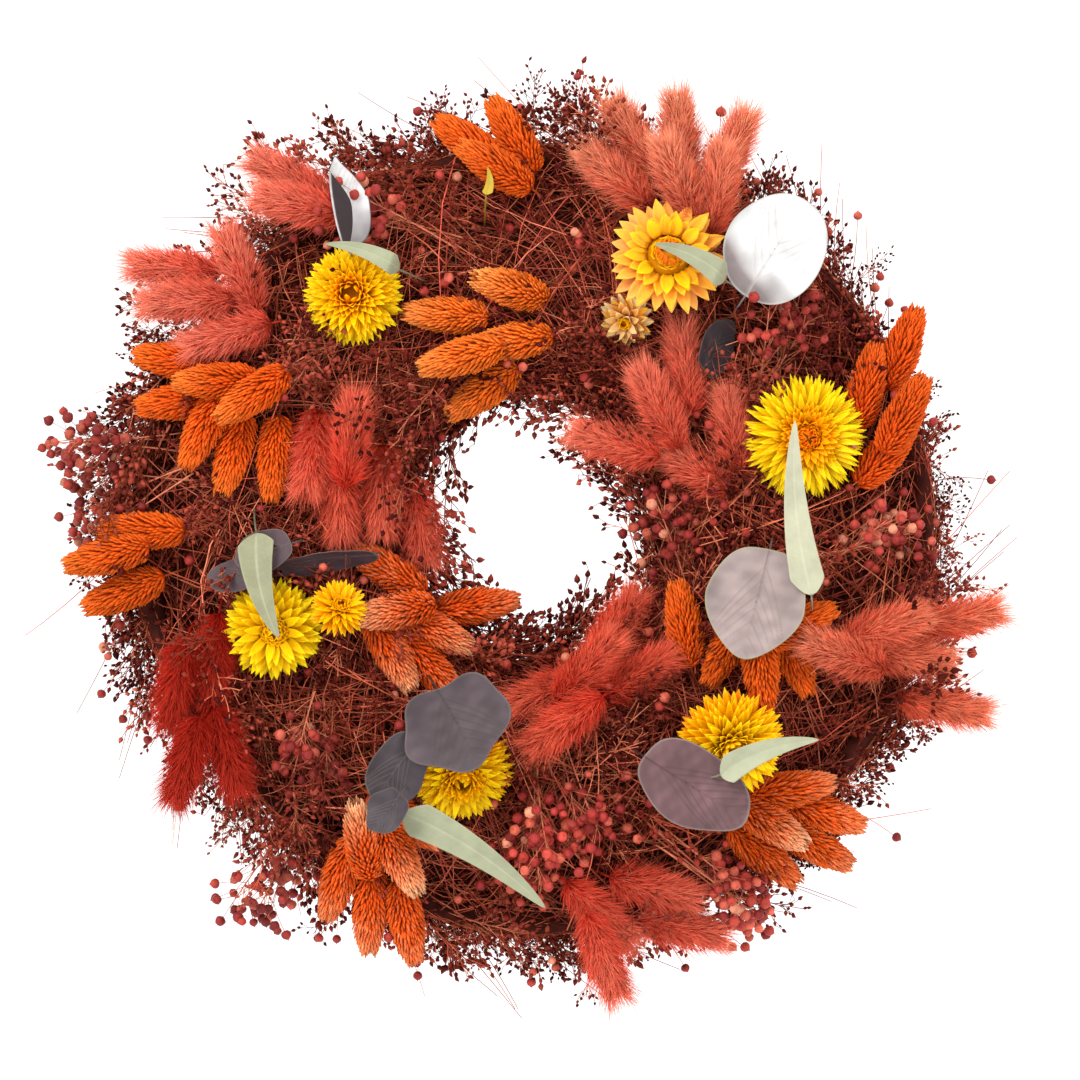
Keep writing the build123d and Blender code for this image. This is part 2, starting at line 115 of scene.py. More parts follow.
class Heap:
    """Collects triangles with a colour at each corner, and becomes one mesh object."""

    def __init__(self):
        self.points, self.triangles, self.colours, self.count = [], [], [], 0

    def add(self, points, triangles, colours):
        self.points.append(points.reshape(-1, 3))
        self.triangles.append(triangles.reshape(-1, 3) + self.count)
        self.colours.append(np.broadcast_to(colours, points.shape).reshape(-1, 3))
        self.count += len(self.points[-1])

    def add_copies(self, shape, rotations, origins, sizes, tints):
        """Copies of a (points, triangles, colours) shape, each turned, sized, moved and tinted."""
        points, triangles, colours = shape
        count = len(origins)
        sizes = np.asarray(sizes, float)
        if sizes.ndim == 1:
            sizes = sizes[:, None]
        moved = np.einsum("kij,knj->kni", rotations, points[None] * sizes[:, None, :])
        moved = moved + origins[:, None, :]
        offsets = np.arange(count)[:, None, None] * len(points)
        tinted = colours[None] * np.broadcast_to(tints, (count, 3))[:, None]
        self.add(moved, triangles[None] + offsets, tinted)

    def add_turned(self, profile, sides, colours, rotation, origin):
        """One solid of revolution, turned and moved."""
        self.add_copies(lathe(profile, sides, colours), rotation[None], origin[None], np.ones(1), 1.0)

    def add_tubes(self, paths, radii, colours, sides=3):
        """Tubes along paths (K, S, 3), with radii (K, S) and colours (K, S, 3) or what fits those shapes."""
        k, s, _ = paths.shape
        radii = np.broadcast_to(radii, (k, s))
        tangents = unit(np.gradient(paths, axis=1))
        helper = unit(np.cross(tangents[:, :1], unit(rng.normal(size=(k, 1, 3)))))
        across = unit(helper - tangents * (helper * tangents).sum(2, keepdims=True))
        upward = np.cross(tangents, across)
        turns = np.arange(sides) * 2 * math.pi / sides
        rings = (
            across[:, :, None, :] * np.cos(turns)[None, None, :, None]
            + upward[:, :, None, :] * np.sin(turns)[None, None, :, None]
        )
        points = paths[:, :, None, :] + rings * radii[:, :, None, None]
        i = np.arange(s - 1)[:, None] * sides
        j = np.arange(sides)[None, :]
        a, b = i + j, i + (j + 1) % sides
        walls = np.stack([a, b, b + sides, a, b + sides, a + sides], -1).reshape(-1, 3)
        fan = np.arange(1, sides - 1)
        foot = np.stack([0 * fan, fan + 1, fan], -1)
        top = (s - 1) * sides + np.stack([0 * fan, fan, fan + 1], -1)
        faces = np.concatenate([walls, foot, top])
        offsets = np.arange(k)[:, None, None] * (s * sides)
        shade = np.broadcast_to(colours, (k, s, 3))[:, :, None, :]
        self.add(points, faces[None] + offsets, np.broadcast_to(shade, points.shape))

    def shape(self):
        return np.concatenate(self.points), np.concatenate(self.triangles), np.concatenate(self.colours)

    def piece(self, name, material, nodes):
        """Makes the mesh object, rides it on the wreath and lets it stand for its CAD nodes."""
        points, triangles, colours = self.shape()
        points = press_to_door(points)
        mesh = bpy.data.meshes.new(name)
        mesh.vertices.add(len(points))
        mesh.vertices.foreach_set("co", points.astype(np.float32).ravel())
        mesh.loops.add(len(triangles) * 3)
        mesh.loops.foreach_set("vertex_index", triangles.astype(np.int32).ravel())
        mesh.polygons.add(len(triangles))
        mesh.polygons.foreach_set("loop_start", np.arange(0, len(triangles) * 3, 3, dtype=np.int32))
        mesh.polygons.foreach_set("use_smooth", np.ones(len(triangles), bool))
        tint = mesh.color_attributes.new("Tint", "FLOAT_COLOR", "POINT")
        shade = np.concatenate([np.clip(colours, 0, 1), np.ones((len(colours), 1))], 1)
        tint.data.foreach_set("color", shade.astype(np.float32).ravel())
        mesh.update(calc_edges=True)
        mesh.validate()
        mesh.materials.append(material)
        obj = bpy.data.objects.new(name, mesh)
        bpy.context.scene.collection.objects.link(obj)
        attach(obj, "wreath")
        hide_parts(*nodes)


def lathe(profile, sides, colours):
    """A closed shape of revolution about +Z from (radius, height) rows that begin and end on it."""
    profile = np.asarray(profile, float)
    inner = profile[1:-1]
    turns = np.arange(sides) * 2 * math.pi / sides
    rings = np.stack(
        [
            inner[:, 0:1] * np.cos(turns),
            inner[:, 0:1] * np.sin(turns),
            np.repeat(inner[:, 1:2], sides, 1),
        ],
        -1,
    )
    points = np.concatenate([[[0, 0, profile[0, 1]]], rings.reshape(-1, 3), [[0, 0, profile[-1, 1]]]])
    faces = []
    last = len(points) - 1
    for j in range(sides):
        n = (j + 1) % sides
        faces.append((0, 1 + n, 1 + j))
        for i in range(len(inner) - 1):
            a, b = 1 + i * sides + j, 1 + i * sides + n
            faces += [(a, b, b + sides), (a, b + sides, a + sides)]
        top = 1 + (len(inner) - 1) * sides
        faces.append((top + j, top + n, last))
    rows = np.concatenate([[0], np.repeat(np.arange(1, len(inner) + 1), sides), [len(inner) + 1]])
    return points, np.array(faces), np.asarray(colours, float)[rows]


def waves(points, scale, seed, octaves=5):
    """Smooth pseudo-random values about 0 at points, from a few sine waves."""
    local = np.random.default_rng(seed)
    total = np.zeros(points.shape[:-1])
    for _ in range(octaves):
        k = unit(local.normal(size=3)) * local.uniform(0.7, 1.8) * 2 * math.pi / scale
        total += np.sin(points @ k + local.uniform(0, 2 * math.pi))
    return total / octaves


# ---------------------------------------------------------------- heads and bundles read from the frame
def islands(node):
    """The separate solids of a CAD node, each as an array of its points."""
    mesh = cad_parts[node].data
    points = np.zeros(len(mesh.vertices) * 3, np.float32)
    mesh.vertices.foreach_get("co", points)
    points = points.reshape(-1, 3).astype(float)
    _, first, same = np.unique(np.round(points, 6), axis=0, return_index=True, return_inverse=True)
    same = same.ravel()
    edges = np.zeros(len(mesh.edges) * 2, np.int32)
    mesh.edges.foreach_get("vertices", edges)
    edges = same[edges.reshape(-1, 2)]
    label = np.arange(len(first))
    while True:
        low = label.copy()
        np.minimum.at(low, edges[:, 0], label[edges[:, 1]])
        np.minimum.at(low, edges[:, 1], label[edges[:, 0]])
        low = low[low]
        if (low == label).all():
            break
        label = low
    welded = points[first]
    return [welded[label == k] for k in np.unique(label)]


def axis_of(points, flat=False):
    """(base, tip, radius) of a turned solid with a stub at its base and a point at its tip."""
    middle = (points.max(0) + points.min(0)) / 2
    values, vectors = np.linalg.eigh(np.cov((points - middle).T))
    axis = vectors[:, 2]
    if flat:
        gaps = (values[1] - values[0], values[2] - values[1])
        axis = vectors[:, 0] if gaps[0] > gaps[1] else vectors[:, 2]
    middle = points.mean(0)
    for _ in range(3):
        along = (points - middle) @ axis
        away = points - middle - along[:, None] * axis
        spread = np.linalg.norm(away, axis=1)
        wide = spread > 0.7 * spread.max()
        middle = middle + away[wide].mean(0)
    along = (points - middle) @ axis
    spread = np.linalg.norm(points - middle - along[:, None] * axis, axis=1)
    backwards = axis[1] > 0 if flat else spread[along.argmax()] > spread[along.argmin()]
    if backwards:
        axis, along = -axis, -along
    return middle + axis * along.min(), middle + axis * along.max(), spread.max()


def heads_of(node, flat=False):
    return [axis_of(points, flat) for points in islands(node)]


def nodes_like(*prefixes):
    return sorted(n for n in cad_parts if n.startswith(prefixes))


def bundle_facts():
    """(angle, inner radius, outer radius, node) of each bundle, and the section's Y measures."""
    rows = []
    for node in nodes_like("broom_bundle"):
        points = np.concatenate(islands(node)) - CENTRE
        r = np.hypot(points[:, 0], points[:, 2])
        mean = points[:, [0, 2]].mean(0)
        rows.append((math.atan2(mean[1], mean[0]) % (2 * math.pi), r.min(), r.max(), node))
        y_middle = points[r.argmax(), 1]
        y_front, y_back = points[:, 1].min(), points[:, 1].max()
    return sorted(rows), y_middle, y_middle - y_front, y_back


BUNDLE_ROWS, SECTION_Y, SECTION_DEPTH, BACK_Y = bundle_facts()
BUNDLE_ANGLES, *BUNDLE_RADII = np.array([row[:3] for row in BUNDLE_ROWS]).T
BACK_PHI = math.asin(min(1.0, (BACK_Y - SECTION_Y) / SECTION_DEPTH))


def radii_at(angle):
    """Smoothed inner and outer radius of the wreath's body at an angle about its axis."""
    step = 2 * math.pi / len(BUNDLE_ROWS)
    t = (angle - BUNDLE_ANGLES[0]) / step
    i = np.floor(t).astype(int)
    f = t - i
    f = f * f * (3 - 2 * f)
    n = len(BUNDLE_ROWS)
    return [mix(radii[i % n], radii[(i + 1) % n], f) for radii in BUNDLE_RADII]


def on_ring(r, y, angle):
    """Points at a radius and an angle about the wreath's axis, y back from the frame's middle."""
    return np.stack([r * np.cos(angle), y + 0 * angle, r * np.sin(angle)], -1) + CENTRE


def polar_of(points):
    """The radius and the angle of points about the wreath's axis."""
    x, _, z = (points - CENTRE).T
    return np.hypot(x, z), np.arctan2(z, x)


def body_point(angle, phi, lift):
    """A point on the wreath's body: phi runs 0 inner edge, 90 front crest, 180 degrees outer edge."""
    inner, outer = radii_at(angle)
    half = (outer - inner) / 2
    r = (inner + outer) / 2 - half * np.cos(phi)
    y = SECTION_Y - SECTION_DEPTH * np.sin(phi)
    normal_r = -np.cos(phi) / half
    normal_y = -np.sin(phi) / SECTION_DEPTH
    size = np.hypot(normal_r, normal_y)
    normal_r, normal_y = normal_r / size, normal_y / size
    r, y = r + normal_r * lift, y + normal_y * lift
    normal = np.stack([normal_r * np.cos(angle), normal_y, normal_r * np.sin(angle)], -1)
    return on_ring(r, y, angle), normal


def round_and_out(angle):
    """The counterclockwise and the outward unit directions at an angle, seen from the front."""
    c, s = np.cos(angle), np.sin(angle)
    return np.stack([-s, 0 * s, c], -1), np.stack([c, 0 * c, s], -1)


# ---------------------------------------------------------------- materials
def new_material(name):
    material = bpy.data.materials.new(name)
    material.use_nodes = True
    nodes = material.node_tree.nodes
    return material, nodes, material.node_tree.links, nodes["Principled BSDF"]


def set_inputs(node, values):
    for name, value in values.items():
        node.inputs[name].default_value = value


def add_noise(nodes, links, scale, detail, stretch=(1, 1, 1)):
    """A noise texture in object space, finer along the axes with a larger stretch."""
    place = nodes.new("ShaderNodeTexCoord")
    mapping = nodes.new("ShaderNodeMapping")
    noise = nodes.new("ShaderNodeTexNoise")
    set_inputs(mapping, {"Scale": stretch})
    set_inputs(noise, {"Scale": scale, "Detail": detail})
    links.new(place.outputs["Object"], mapping.inputs["Vector"])
    links.new(mapping.outputs["Vector"], noise.inputs["Vector"])
    return noise.outputs["Fac"]


def ramp_between(nodes, links, source, low, high):
    """Maps a noise to the range low to high."""
    node = nodes.new("ShaderNodeMapRange")
    set_inputs(node, {"From Min": 0.3, "From Max": 0.7, "To Min": low, "To Max": high})
    links.new(source, node.inputs["Value"])
    return node.outputs["Result"]


def add_colours(nodes, links, source, shader, colours, places):
    """A base colour that runs with a noise from the first colour to the second."""
    ramp = nodes.new("ShaderNodeValToRGB")
    for stop, colour, place in zip(ramp.color_ramp.elements, colours, places):
        stop.color = (*colour, 1)
        stop.position = place
    links.new(source, ramp.inputs["Fac"])
    links.new(ramp.outputs["Color"], shader.inputs["Base Color"])


def add_bump(nodes, links, source, shader, strength, distance):
    bump = nodes.new("ShaderNodeBump")
    set_inputs(bump, {"Strength": strength, "Distance": distance})
    links.new(source, bump.inputs["Height"])
    links.new(bump.outputs["Normal"], shader.inputs["Normal"])


def plant_material(name, grain, roughness, dark, light, bump, gloss, through=0.0):
    """Dried plant matter: the mesh's own tint, mottled by noise, with a grainy bump."""
    material, nodes, links, shader = new_material(name)
    tint = nodes.new("ShaderNodeAttribute")
    tint.attribute_name = "Tint"
    mottle = add_noise(nodes, links, grain, 3)
    mixed = nodes.new("ShaderNodeVectorMath")
    mixed.operation = "SCALE"
    links.new(tint.outputs["Color"], mixed.inputs[0])
    links.new(ramp_between(nodes, links, mottle, dark, light), mixed.inputs["Scale"])
    links.new(mixed.outputs["Vector"], shader.inputs["Base Color"])
    rough = ramp_between(nodes, links, mottle, roughness - 0.08, roughness + 0.08)
    links.new(rough, shader.inputs["Roughness"])
    add_bump(nodes, links, add_noise(nodes, links, grain * 4, 2), shader, bump, 0.0004)
    values = {"Specular IOR Level": gloss, "Sheen Roughness": 0.4, "Subsurface Weight": through}
    set_inputs(shader, values | {"Subsurface Radius": (0.005, 0.003, 0.0004), "Subsurface Scale": 0.5})
    return material


def wire_material(name, dark, light, roughness, metallic, grain):
    """Drawn wire, with a brushed grain and patches of dull finish."""
    material, nodes, links, shader = new_material(name)
    noise = add_noise(nodes, links, grain, 4, (1, 3, 1))
    add_colours(nodes, links, noise, shader, (dark, light), (0.3, 0.7))
    rough = ramp_between(nodes, links, noise, roughness - 0.1, roughness + 0.15)
    links.new(rough, shader.inputs["Roughness"])
    add_bump(nodes, links, noise, shader, 0.25, 0.0002)
    set_inputs(shader, {"Metallic": metallic})
    return material


BROOM = plant_material("dried broom bloom", 260, 0.62, 0.70, 1.30, 0.5, gloss=0.025)
FLAX = plant_material("flax capsules", 420, 0.45, 0.75, 1.30, 0.5, gloss=0.16)
BUNNY = plant_material("bunny tail fluff", 160, 0.72, 0.86, 1.14, 0.1, gloss=0.03)
CANARY = plant_material("canary grass scales", 380, 0.60, 0.78, 1.22, 0.5, gloss=0.04)
PETAL = plant_material("strawflower bracts", 300, 0.45, 0.92, 1.06, 0.3, gloss=0.08, through=0.45)
ROUND_LEAF = plant_material("round eucalyptus leaf", 110, 0.50, 0.86, 1.12, 0.35, gloss=0.12)
SICKLE_LEAF = plant_material("sickle eucalyptus leaf", 160, 0.52, 0.92, 1.08, 0.35, gloss=0.2)
STEMS = plant_material("bound dry stems", 240, 0.70, 0.70, 1.30, 0.6, gloss=0.1)
FRAME_WIRE = wire_material("painted frame wire", (0.05, 0.055, 0.05), (0.13, 0.13, 0.12), 0.45, 0.6, 900)
LOOP_WIRE = wire_material("galvanised loop wire", (0.30, 0.30, 0.31), (0.55, 0.55, 0.56), 0.35, 0.95, 1200)
BINDING_WIRE = wire_material("green binding wire", (0.03, 0.06, 0.03), (0.08, 0.12, 0.06), 0.4, 0.3, 900)

for node, material in (
    ("outer_ring", FRAME_WIRE),
    ("inner_ring", FRAME_WIRE),
    ("cross_struts", FRAME_WIRE),
    ("hanging_loop", LOOP_WIRE),
    ("binding_wire", BINDING_WIRE),
):
    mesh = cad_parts[node].data
    mesh.materials.clear()
    mesh.materials.append(material)


# ---------------------------------------------------------------- what sprays must not cover
CANARY_HEADS = {n: heads_of(n) for n in nodes_like("canary_grass")}
BUNNY_HEADS = {n: heads_of(n) for n in nodes_like("bunny_tails")}
FLAX_HEADS = {n: heads_of(n) for n in nodes_like("flax")}
FLOWERS = {n: heads_of(n, True)[0] for n in nodes_like("strawflower")}
LEAVES = nodes_like("round_leaf") + nodes_like("round_leaves") + nodes_like("sickle_leaf")


def keep_clear_balls():
    """Balls (x, y, z, radius) round every head, flower and leaf that shows in front."""
    balls = []
    for group, share in ((CANARY_HEADS, 0.75), (BUNNY_HEADS, 0.8)):
        for heads in group.values():
            for base, tip, radius in heads:
                for t in (0.5, 0.8):
                    balls.append([*(base + (tip - base) * t), radius * share])
    for base, tip, radius in FLOWERS.values():
        balls.append([*(base * 0.5 + tip * 0.5), radius])
    for node in LEAVES:
        for points in islands(node):
            low, high = points.min(0), points.max(0)
            middle, size = (low + high) / 2, (high - low)[[0, 2]]
            steps = max(1, int(round(size.max() / max(size.min(), 0.004))))
            _, vectors = np.linalg.eigh(np.cov((points - middle).T))
            reach = vectors[:, 2] * size.max() / 2
            for t in np.linspace(-1 + 1 / steps, 1 - 1 / steps, steps):
                balls.append([*(middle + reach * t), 0.85 * max(size.min() / 2, size.max() / 2 / steps)])
    return np.array(balls)


CLEAR = keep_clear_balls()
LOOP_LOW, LOOP_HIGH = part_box("hanging_loop")
LOOP_ROOM = 5 * MM
FAR_BEHIND = 1.0
POCKET_LOW = np.array([LOOP_LOW.x - LOOP_ROOM, LOOP_LOW.y - 4 * MM, LOOP_LOW.z - 2 * MM])
POCKET_HIGH = np.array([LOOP_HIGH.x + LOOP_ROOM, FAR_BEHIND, LOOP_HIGH.z + LOOP_ROOM])
FOLD_LOW = np.array([POCKET_LOW[0], DOOR_Y - 1.8 * MM, 2 * LOOP_LOW.z - LOOP_HIGH.z - 4 * MM])
FOLD_HIGH = np.array([POCKET_HIGH[0], FAR_BEHIND, LOOP_LOW.z])


def in_box(points, low, high, slack=0.0):
    return ((points > low - slack) & (points < high + slack)).all(-1)


def in_pocket(points, slack=0.0):
    """Which points lie where the hanging loop stands, or where it lies when folded down."""
    return in_box(points, POCKET_LOW, POCKET_HIGH, slack) | in_box(points, FOLD_LOW, FOLD_HIGH, slack)


def covers(points, slack=0.0):
    """Which points lie in front of a head, flower or leaf, seen from the front."""
    plan = (points[:, None, 0] - CLEAR[None, :, 0]) ** 2 + (points[:, None, 2] - CLEAR[None, :, 2]) ** 2
    inside = plan < (CLEAR[None, :, 3] + slack) ** 2
    in_front = points[:, None, 1] < CLEAR[None, :, 1] + 0.3 * CLEAR[None, :, 3]
    return (inside & in_front).any(1)


# ---------------------------------------------------------------- broom bloom bundles
STEM_REDS = np.array([(0.50, 0.105, 0.050), (0.27, 0.045, 0.022), (0.66, 0.19, 0.10), (0.38, 0.065, 0.040)])
SEED_DARKS = [(0.09, 0.011, 0.007), (0.05, 0.006, 0.005), (0.16, 0.022, 0.013), (0.26, 0.044, 0.026)]
SEED_DARKS = np.array(SEED_DARKS)
SEED_PROFILE = [(0, 0), (0.30, 0.28), (0.26, 0.58), (0, 1.0)]
SEED = lathe(SEED_PROFILE, 4, np.array([0.7, 0.9, 1.15, 1.3])[:, None] * np.ones(3))


def bent_paths(starts, directions, lengths, bend, steps):
    """Paths (K, steps, 3) that leave starts along directions and curve sideways by bend."""
    sideways = unit(np.cross(directions, rng.normal(size=directions.shape)))
    t = np.linspace(0, 1, steps)[None, :, None]
    reach = lengths[:, None, None]
    curve = (bend * lengths)[:, None, None] * t**2
    return starts[:, None] + directions[:, None] * reach * t + sideways[:, None] * curve


def lean(directions, spread):
    """Each direction leant by about spread radians at random."""
    return unit(directions + rng.normal(size=directions.shape) * spread)


def points_along(path, share):
    """Points at shares 0 to 1 of one path (S, 3), and the way the path runs there."""
    place = np.clip(share, 0, 1) * (len(path) - 1)
    low = np.minimum(place.astype(int), len(path) - 2)
    part = (place - low)[:, None]
    return path[low] * (1 - part) + path[low + 1] * part, unit(path[low + 1] - path[low])


def spray_shape(length, twigs, buds_per_twig, bud_size):
    """One branching spray that grows along +Z, its buds on the ends of fine twigs."""
    heap = Heap()
    main = bent_paths(np.zeros((1, 3)), np.array([[0, 0, 1.0]]), np.array([length]), 0.14, 6)
    heap.add_tubes(main, np.linspace(0.42, 0.24, 6) * MM, 1.0)
    at = np.sort(rng.uniform(0.22, 1.0, twigs))
    starts, _ = points_along(main[0], at)
    turn = np.arange(twigs) * GOLDEN_ANGLE + rng.normal(0, 0.3, twigs)
    tilt = rng.uniform(0.25, 0.85, twigs)
    ways = tilted_ways(turn, tilt)
    reach = length * (0.40 - 0.22 * at) * rng.uniform(0.8, 1.25, twigs)
    branches = bent_paths(starts, ways, reach, rng.uniform(0.05, 0.3, twigs), 4)
    heap.add_tubes(branches, np.linspace(0.27, 0.19, 4) * MM, 0.95)
    feet, ends = [], []
    for branch in branches:
        share = np.linspace(0.3, 1.0, buds_per_twig) + rng.normal(0, 0.05, buds_per_twig)
        place, way = points_along(branch, share)
        feet.append(place)
        ends.append(way)
    feet, ways = np.concatenate(feet), lean(np.concatenate(ends), 0.5)
    stalk = rng.uniform(1.8, 5.5, len(feet)) * MM
    stalks = np.stack([feet, feet + ways * stalk[:, None]], 1)
    heap.add_tubes(stalks, 0.17 * MM, 0.85)
    buds = Heap()
    sizes = rng.uniform(0.7, 1.2, len(feet)) * bud_size
    turned = along_frames(lean(ways, 0.25))
    buds.add_copies(SEED, turned, stalks[:, 1] - ways * 0.2 * MM, sizes, 1.0)
    return heap.shape(), buds.shape(), length


SPRAYS = [spray_shape(rng.uniform(44, 56) * MM, 10, 4, 3.9 * MM) for _ in range(7)]
SPRAYS += [spray_shape(rng.uniform(48, 60) * MM, 13, 3, 3.4 * MM) for _ in range(5)]
FILL_SEEDS, BACK_STEMS, WISPS = 800, 240, 8
FRONT_INSET, OUTER_INSET, BACK_INSET, INNER_INSET = 10 * MM, 30 * MM, 14 * MM, 7 * MM
# How near the axis the sprays reach, in millimetres, every 30 degrees from 0 degrees
HOLE = (32, 33, 37, 53, 54, 36, 33, 31, 34, 33, 35, 33)
# How far out the sprays are dense, in millimetres, every 30 degrees from 15 degrees
OUTLINE = (163, 165, 174, 172, 180, 176, 176, 167, 173, 168, 167, 170)


def inset_at(phi):
    """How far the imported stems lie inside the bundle's skin, the rest being loose sprays."""
    places = [-BACK_PHI, 0.0, math.pi / 2, math.pi, math.pi + BACK_PHI]
    return np.interp(phi, places, [2 * MM, INNER_INSET, FRONT_INSET, OUTER_INSET, BACK_INSET])


def core_point(angle, phi, lift=0.0):
    """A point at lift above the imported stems, and the way out of them."""
    return body_point(angle, phi, lift - inset_at(phi))


inner_lip, outer_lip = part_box("inner_ring"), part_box("outer_ring")
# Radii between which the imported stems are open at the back, and where they end on each side of it
CHANNEL_ROOM = 5 * MM
CHANNEL_LOW = (inner_lip[1].x - inner_lip[0].x) / 2 - CHANNEL_ROOM
CHANNEL_HIGH = (outer_lip[1].x - outer_lip[0].x) / 2 + CHANNEL_ROOM
BACK_FACE = SECTION_Y + SECTION_DEPTH * math.sin(BACK_PHI) - 2 * MM
INNER_FACE = BACK_FACE - 2 * MM


def inner_phi(angle):
    """How far round the back the inner edge runs before it meets the channel."""
    inner, outer = radii_at(angle)
    reach = (inner + outer) / 2 - CHANNEL_LOW + 4 * MM
    return np.maximum(-BACK_PHI, -np.arccos(np.clip(reach / ((outer - inner) / 2), 0.0, 1.0)))


def core(heap, start, stop):
    """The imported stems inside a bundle: a lumpy sector, open at the back round the frame."""
    cuts, rounds = 40, 54
    channel_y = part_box("binding_wire")[0].y + CENTRE[1] - 0.8 * MM
    angles = np.linspace(start, stop, cuts)
    phi = np.linspace(-BACK_PHI, math.pi + BACK_PHI, rounds)
    a = angles[:, None] * np.ones((1, rounds))
    p = inner_phi(a) + (math.pi + BACK_PHI - inner_phi(a)) * np.linspace(0, 1, rounds)[None]
    skin, normal = core_point(a, p)
    lumps = waves(skin, 0.016, 3) * 1.8 * MM + waves(skin, 0.006, 4) * 1.0 * MM
    skin = skin + normal * lumps[..., None]
    rows = []
    high_side = ((CHANNEL_HIGH, BACK_FACE), (CHANNEL_HIGH, channel_y))
    low_side = ((CHANNEL_LOW, channel_y), (CHANNEL_LOW, INNER_FACE))
    for r, y in high_side + low_side:
        row = on_ring(r, y, angles)
        rows.append(row + (waves(row, 0.008, 5) * 0.5 * MM)[:, None])
    grid = np.concatenate([skin, np.stack(rows, 1)], 1)
    standing = in_box(grid, POCKET_LOW, POCKET_HIGH, 1 * MM)
    grid[..., 1] = np.where(standing, POCKET_LOW[1] - 1 * MM, grid[..., 1])
    n = grid.shape[1]
    i = np.arange(cuts - 1)[:, None] * n
    j = np.arange(n)[None, :]
    low, high = i + j, i + (j + 1) % n
    faces = np.stack([low, high, high + n, low, high + n, low + n], -1).reshape(-1, 3)
    corner = rounds + 3 - (phi >= 0).astype(int) - (phi >= math.pi / 2) - (phi >= math.pi)
    k = np.arange(rounds - 1)
    turns = k[corner[k] != corner[k + 1]]
    fan = np.stack([k, k + 1, corner[k]], -1)
    cap = np.concatenate([fan, np.stack([turns + 1, corner[turns + 1], corner[turns]], -1)])
    points = grid.reshape(-1, 3)
    tone = 0.5 + 0.5 * np.clip(waves(points, 0.01, 6), -1, 1)[:, None]
    # The core is tinted far darker than any stem, as painted shade deep inside the bundle; the waves mottle
    # it.
    colours = mix((0.030, 0.006, 0.005), (0.075, 0.018, 0.012), tone)
    heap.add(points, np.concatenate([faces, cap, cap[:, ::-1] + (cuts - 1) * n]), colours)


def lay_stems(heap, paths, tints, radius):
    """Stems along paths, less those that would lie where the hanging loop goes."""
    clear = ~in_pocket(paths).any(1)
    heap.add_tubes(paths[clear], radius[clear], tints[clear, None])


def thatch(heap, start, stop, count, rises, phi_range, crossing, lengths):
    """Thin stems laid round the wreath over a bundle, most of them counterclockwise."""
    steps = 6
    t = np.linspace(0, 1, steps)[None]
    angle = rng.uniform(start, stop, count)
    phi = rng.uniform(*phi_range, count)
    length = rng.uniform(*lengths, count) * MM
    inner, outer = radii_at(angle)
    r = (inner + outer) / 2 - (outer - inner) / 2 * np.cos(phi)
    sweep = length / np.maximum(r, 0.03)
    angles = angle[:, None] + sweep[:, None] * (t - 0.5)
    drift = rng.normal(0, crossing, count)[:, None] * (t - 0.5) + rng.normal(0, 0.15, count)[:, None] * t**2
    phis = np.clip(phi[:, None] + drift, inner_phi(angles), math.pi + BACK_PHI)
    rise = rng.uniform(*rises, count)[:, None] * MM + t**2 * rng.uniform(0, 6, count)[:, None] * MM
    rise = rise * np.interp(phis, [0.0, 1.0, 2.4, 3.0], [0.1, 1.0, 1.0, 0.35])
    rise = np.where((phis < 0) | (phis > math.pi), np.abs(rise) + 0.3 * MM, rise)
    paths, _ = core_point(angles, phis, rise)
    paths = paths + rng.normal(0, 0.4 * MM, paths.shape)
    # The top of each layer's brightness range grows with its rise, so the deeper layers carry painted shade.
    tints = picked(STEM_REDS, count, 0.4, 1.0 + 0.035 * rises[1])
    radius = rng.uniform(0.17, 0.36, count)[:, None] * np.linspace(1.1, 0.6, steps)[None] * MM
    lay_stems(heap, paths, tints, radius)


def back_thatch(heap, start, stop, count):
    """Stems packed flat over a bundle's back, on both sides of the channel for the frame."""
    steps = 6
    t = np.linspace(0, 1, steps)[None]
    outside = rng.random(count) < 0.8
    angles = rng.uniform(start, stop, count)[:, None] + rng.uniform(0.20, 0.50, count)[:, None] * (t - 0.5)
    edge_phi = np.where(outside[:, None], math.pi + BACK_PHI, inner_phi(angles))
    skin, _ = core_point(angles, edge_phi)
    lip = np.where(outside, CHANNEL_HIGH, CHANNEL_LOW)[:, None]
    lip = on_ring(lip, np.where(outside, BACK_FACE, INNER_FACE)[:, None], angles)
    share = rng.uniform(-0.05, 1.0, count)[:, None] + rng.normal(0, 0.25, count)[:, None] * (t - 0.5)
    share = np.clip(share, -0.1, 1.0)[..., None]
    paths = mix(skin, lip, share)
    paths[..., 1] += rng.uniform(-0.2, 0.9, count)[:, None] * MM
    tints = picked(STEM_REDS, count, 0.35, 0.95)
    radius = rng.uniform(0.25, 0.5, count)[:, None] * np.linspace(1.1, 0.7, steps)[None] * MM
    lay_stems(heap, paths, tints, radius)


def outline_at(angle):
    """The radius at which the sprays thin out, at an angle about the wreath's axis."""
    degrees = np.degrees(angle) % 360
    marks = np.arange(-15, 390, 30)
    return np.interp(degrees, marks, (OUTLINE[-1], *OUTLINE, OUTLINE[0])) * MM


def hole_at(angle):
    """The radius the sprays leave open in the middle, at an angle about the wreath's axis."""
    marks = np.arange(0, 390, 30)
    return np.interp(np.degrees(angle) % 360, marks, (*HOLE, HOLE[0])) * MM


# Sprays by place: how many, phi range, the weights of turning, outward and lifting growth, spread
PLACES = (
    (46, 0.30, 2.60, 0.80, 0.16, 0.34, 0.26),
    (51, 2.30, 3.80, 0.74, 0.46, 0.06, 0.32),
    (24, -0.45, 0.45, 0.86, -0.16, 0.12, 0.26),
)
TRIES = 3


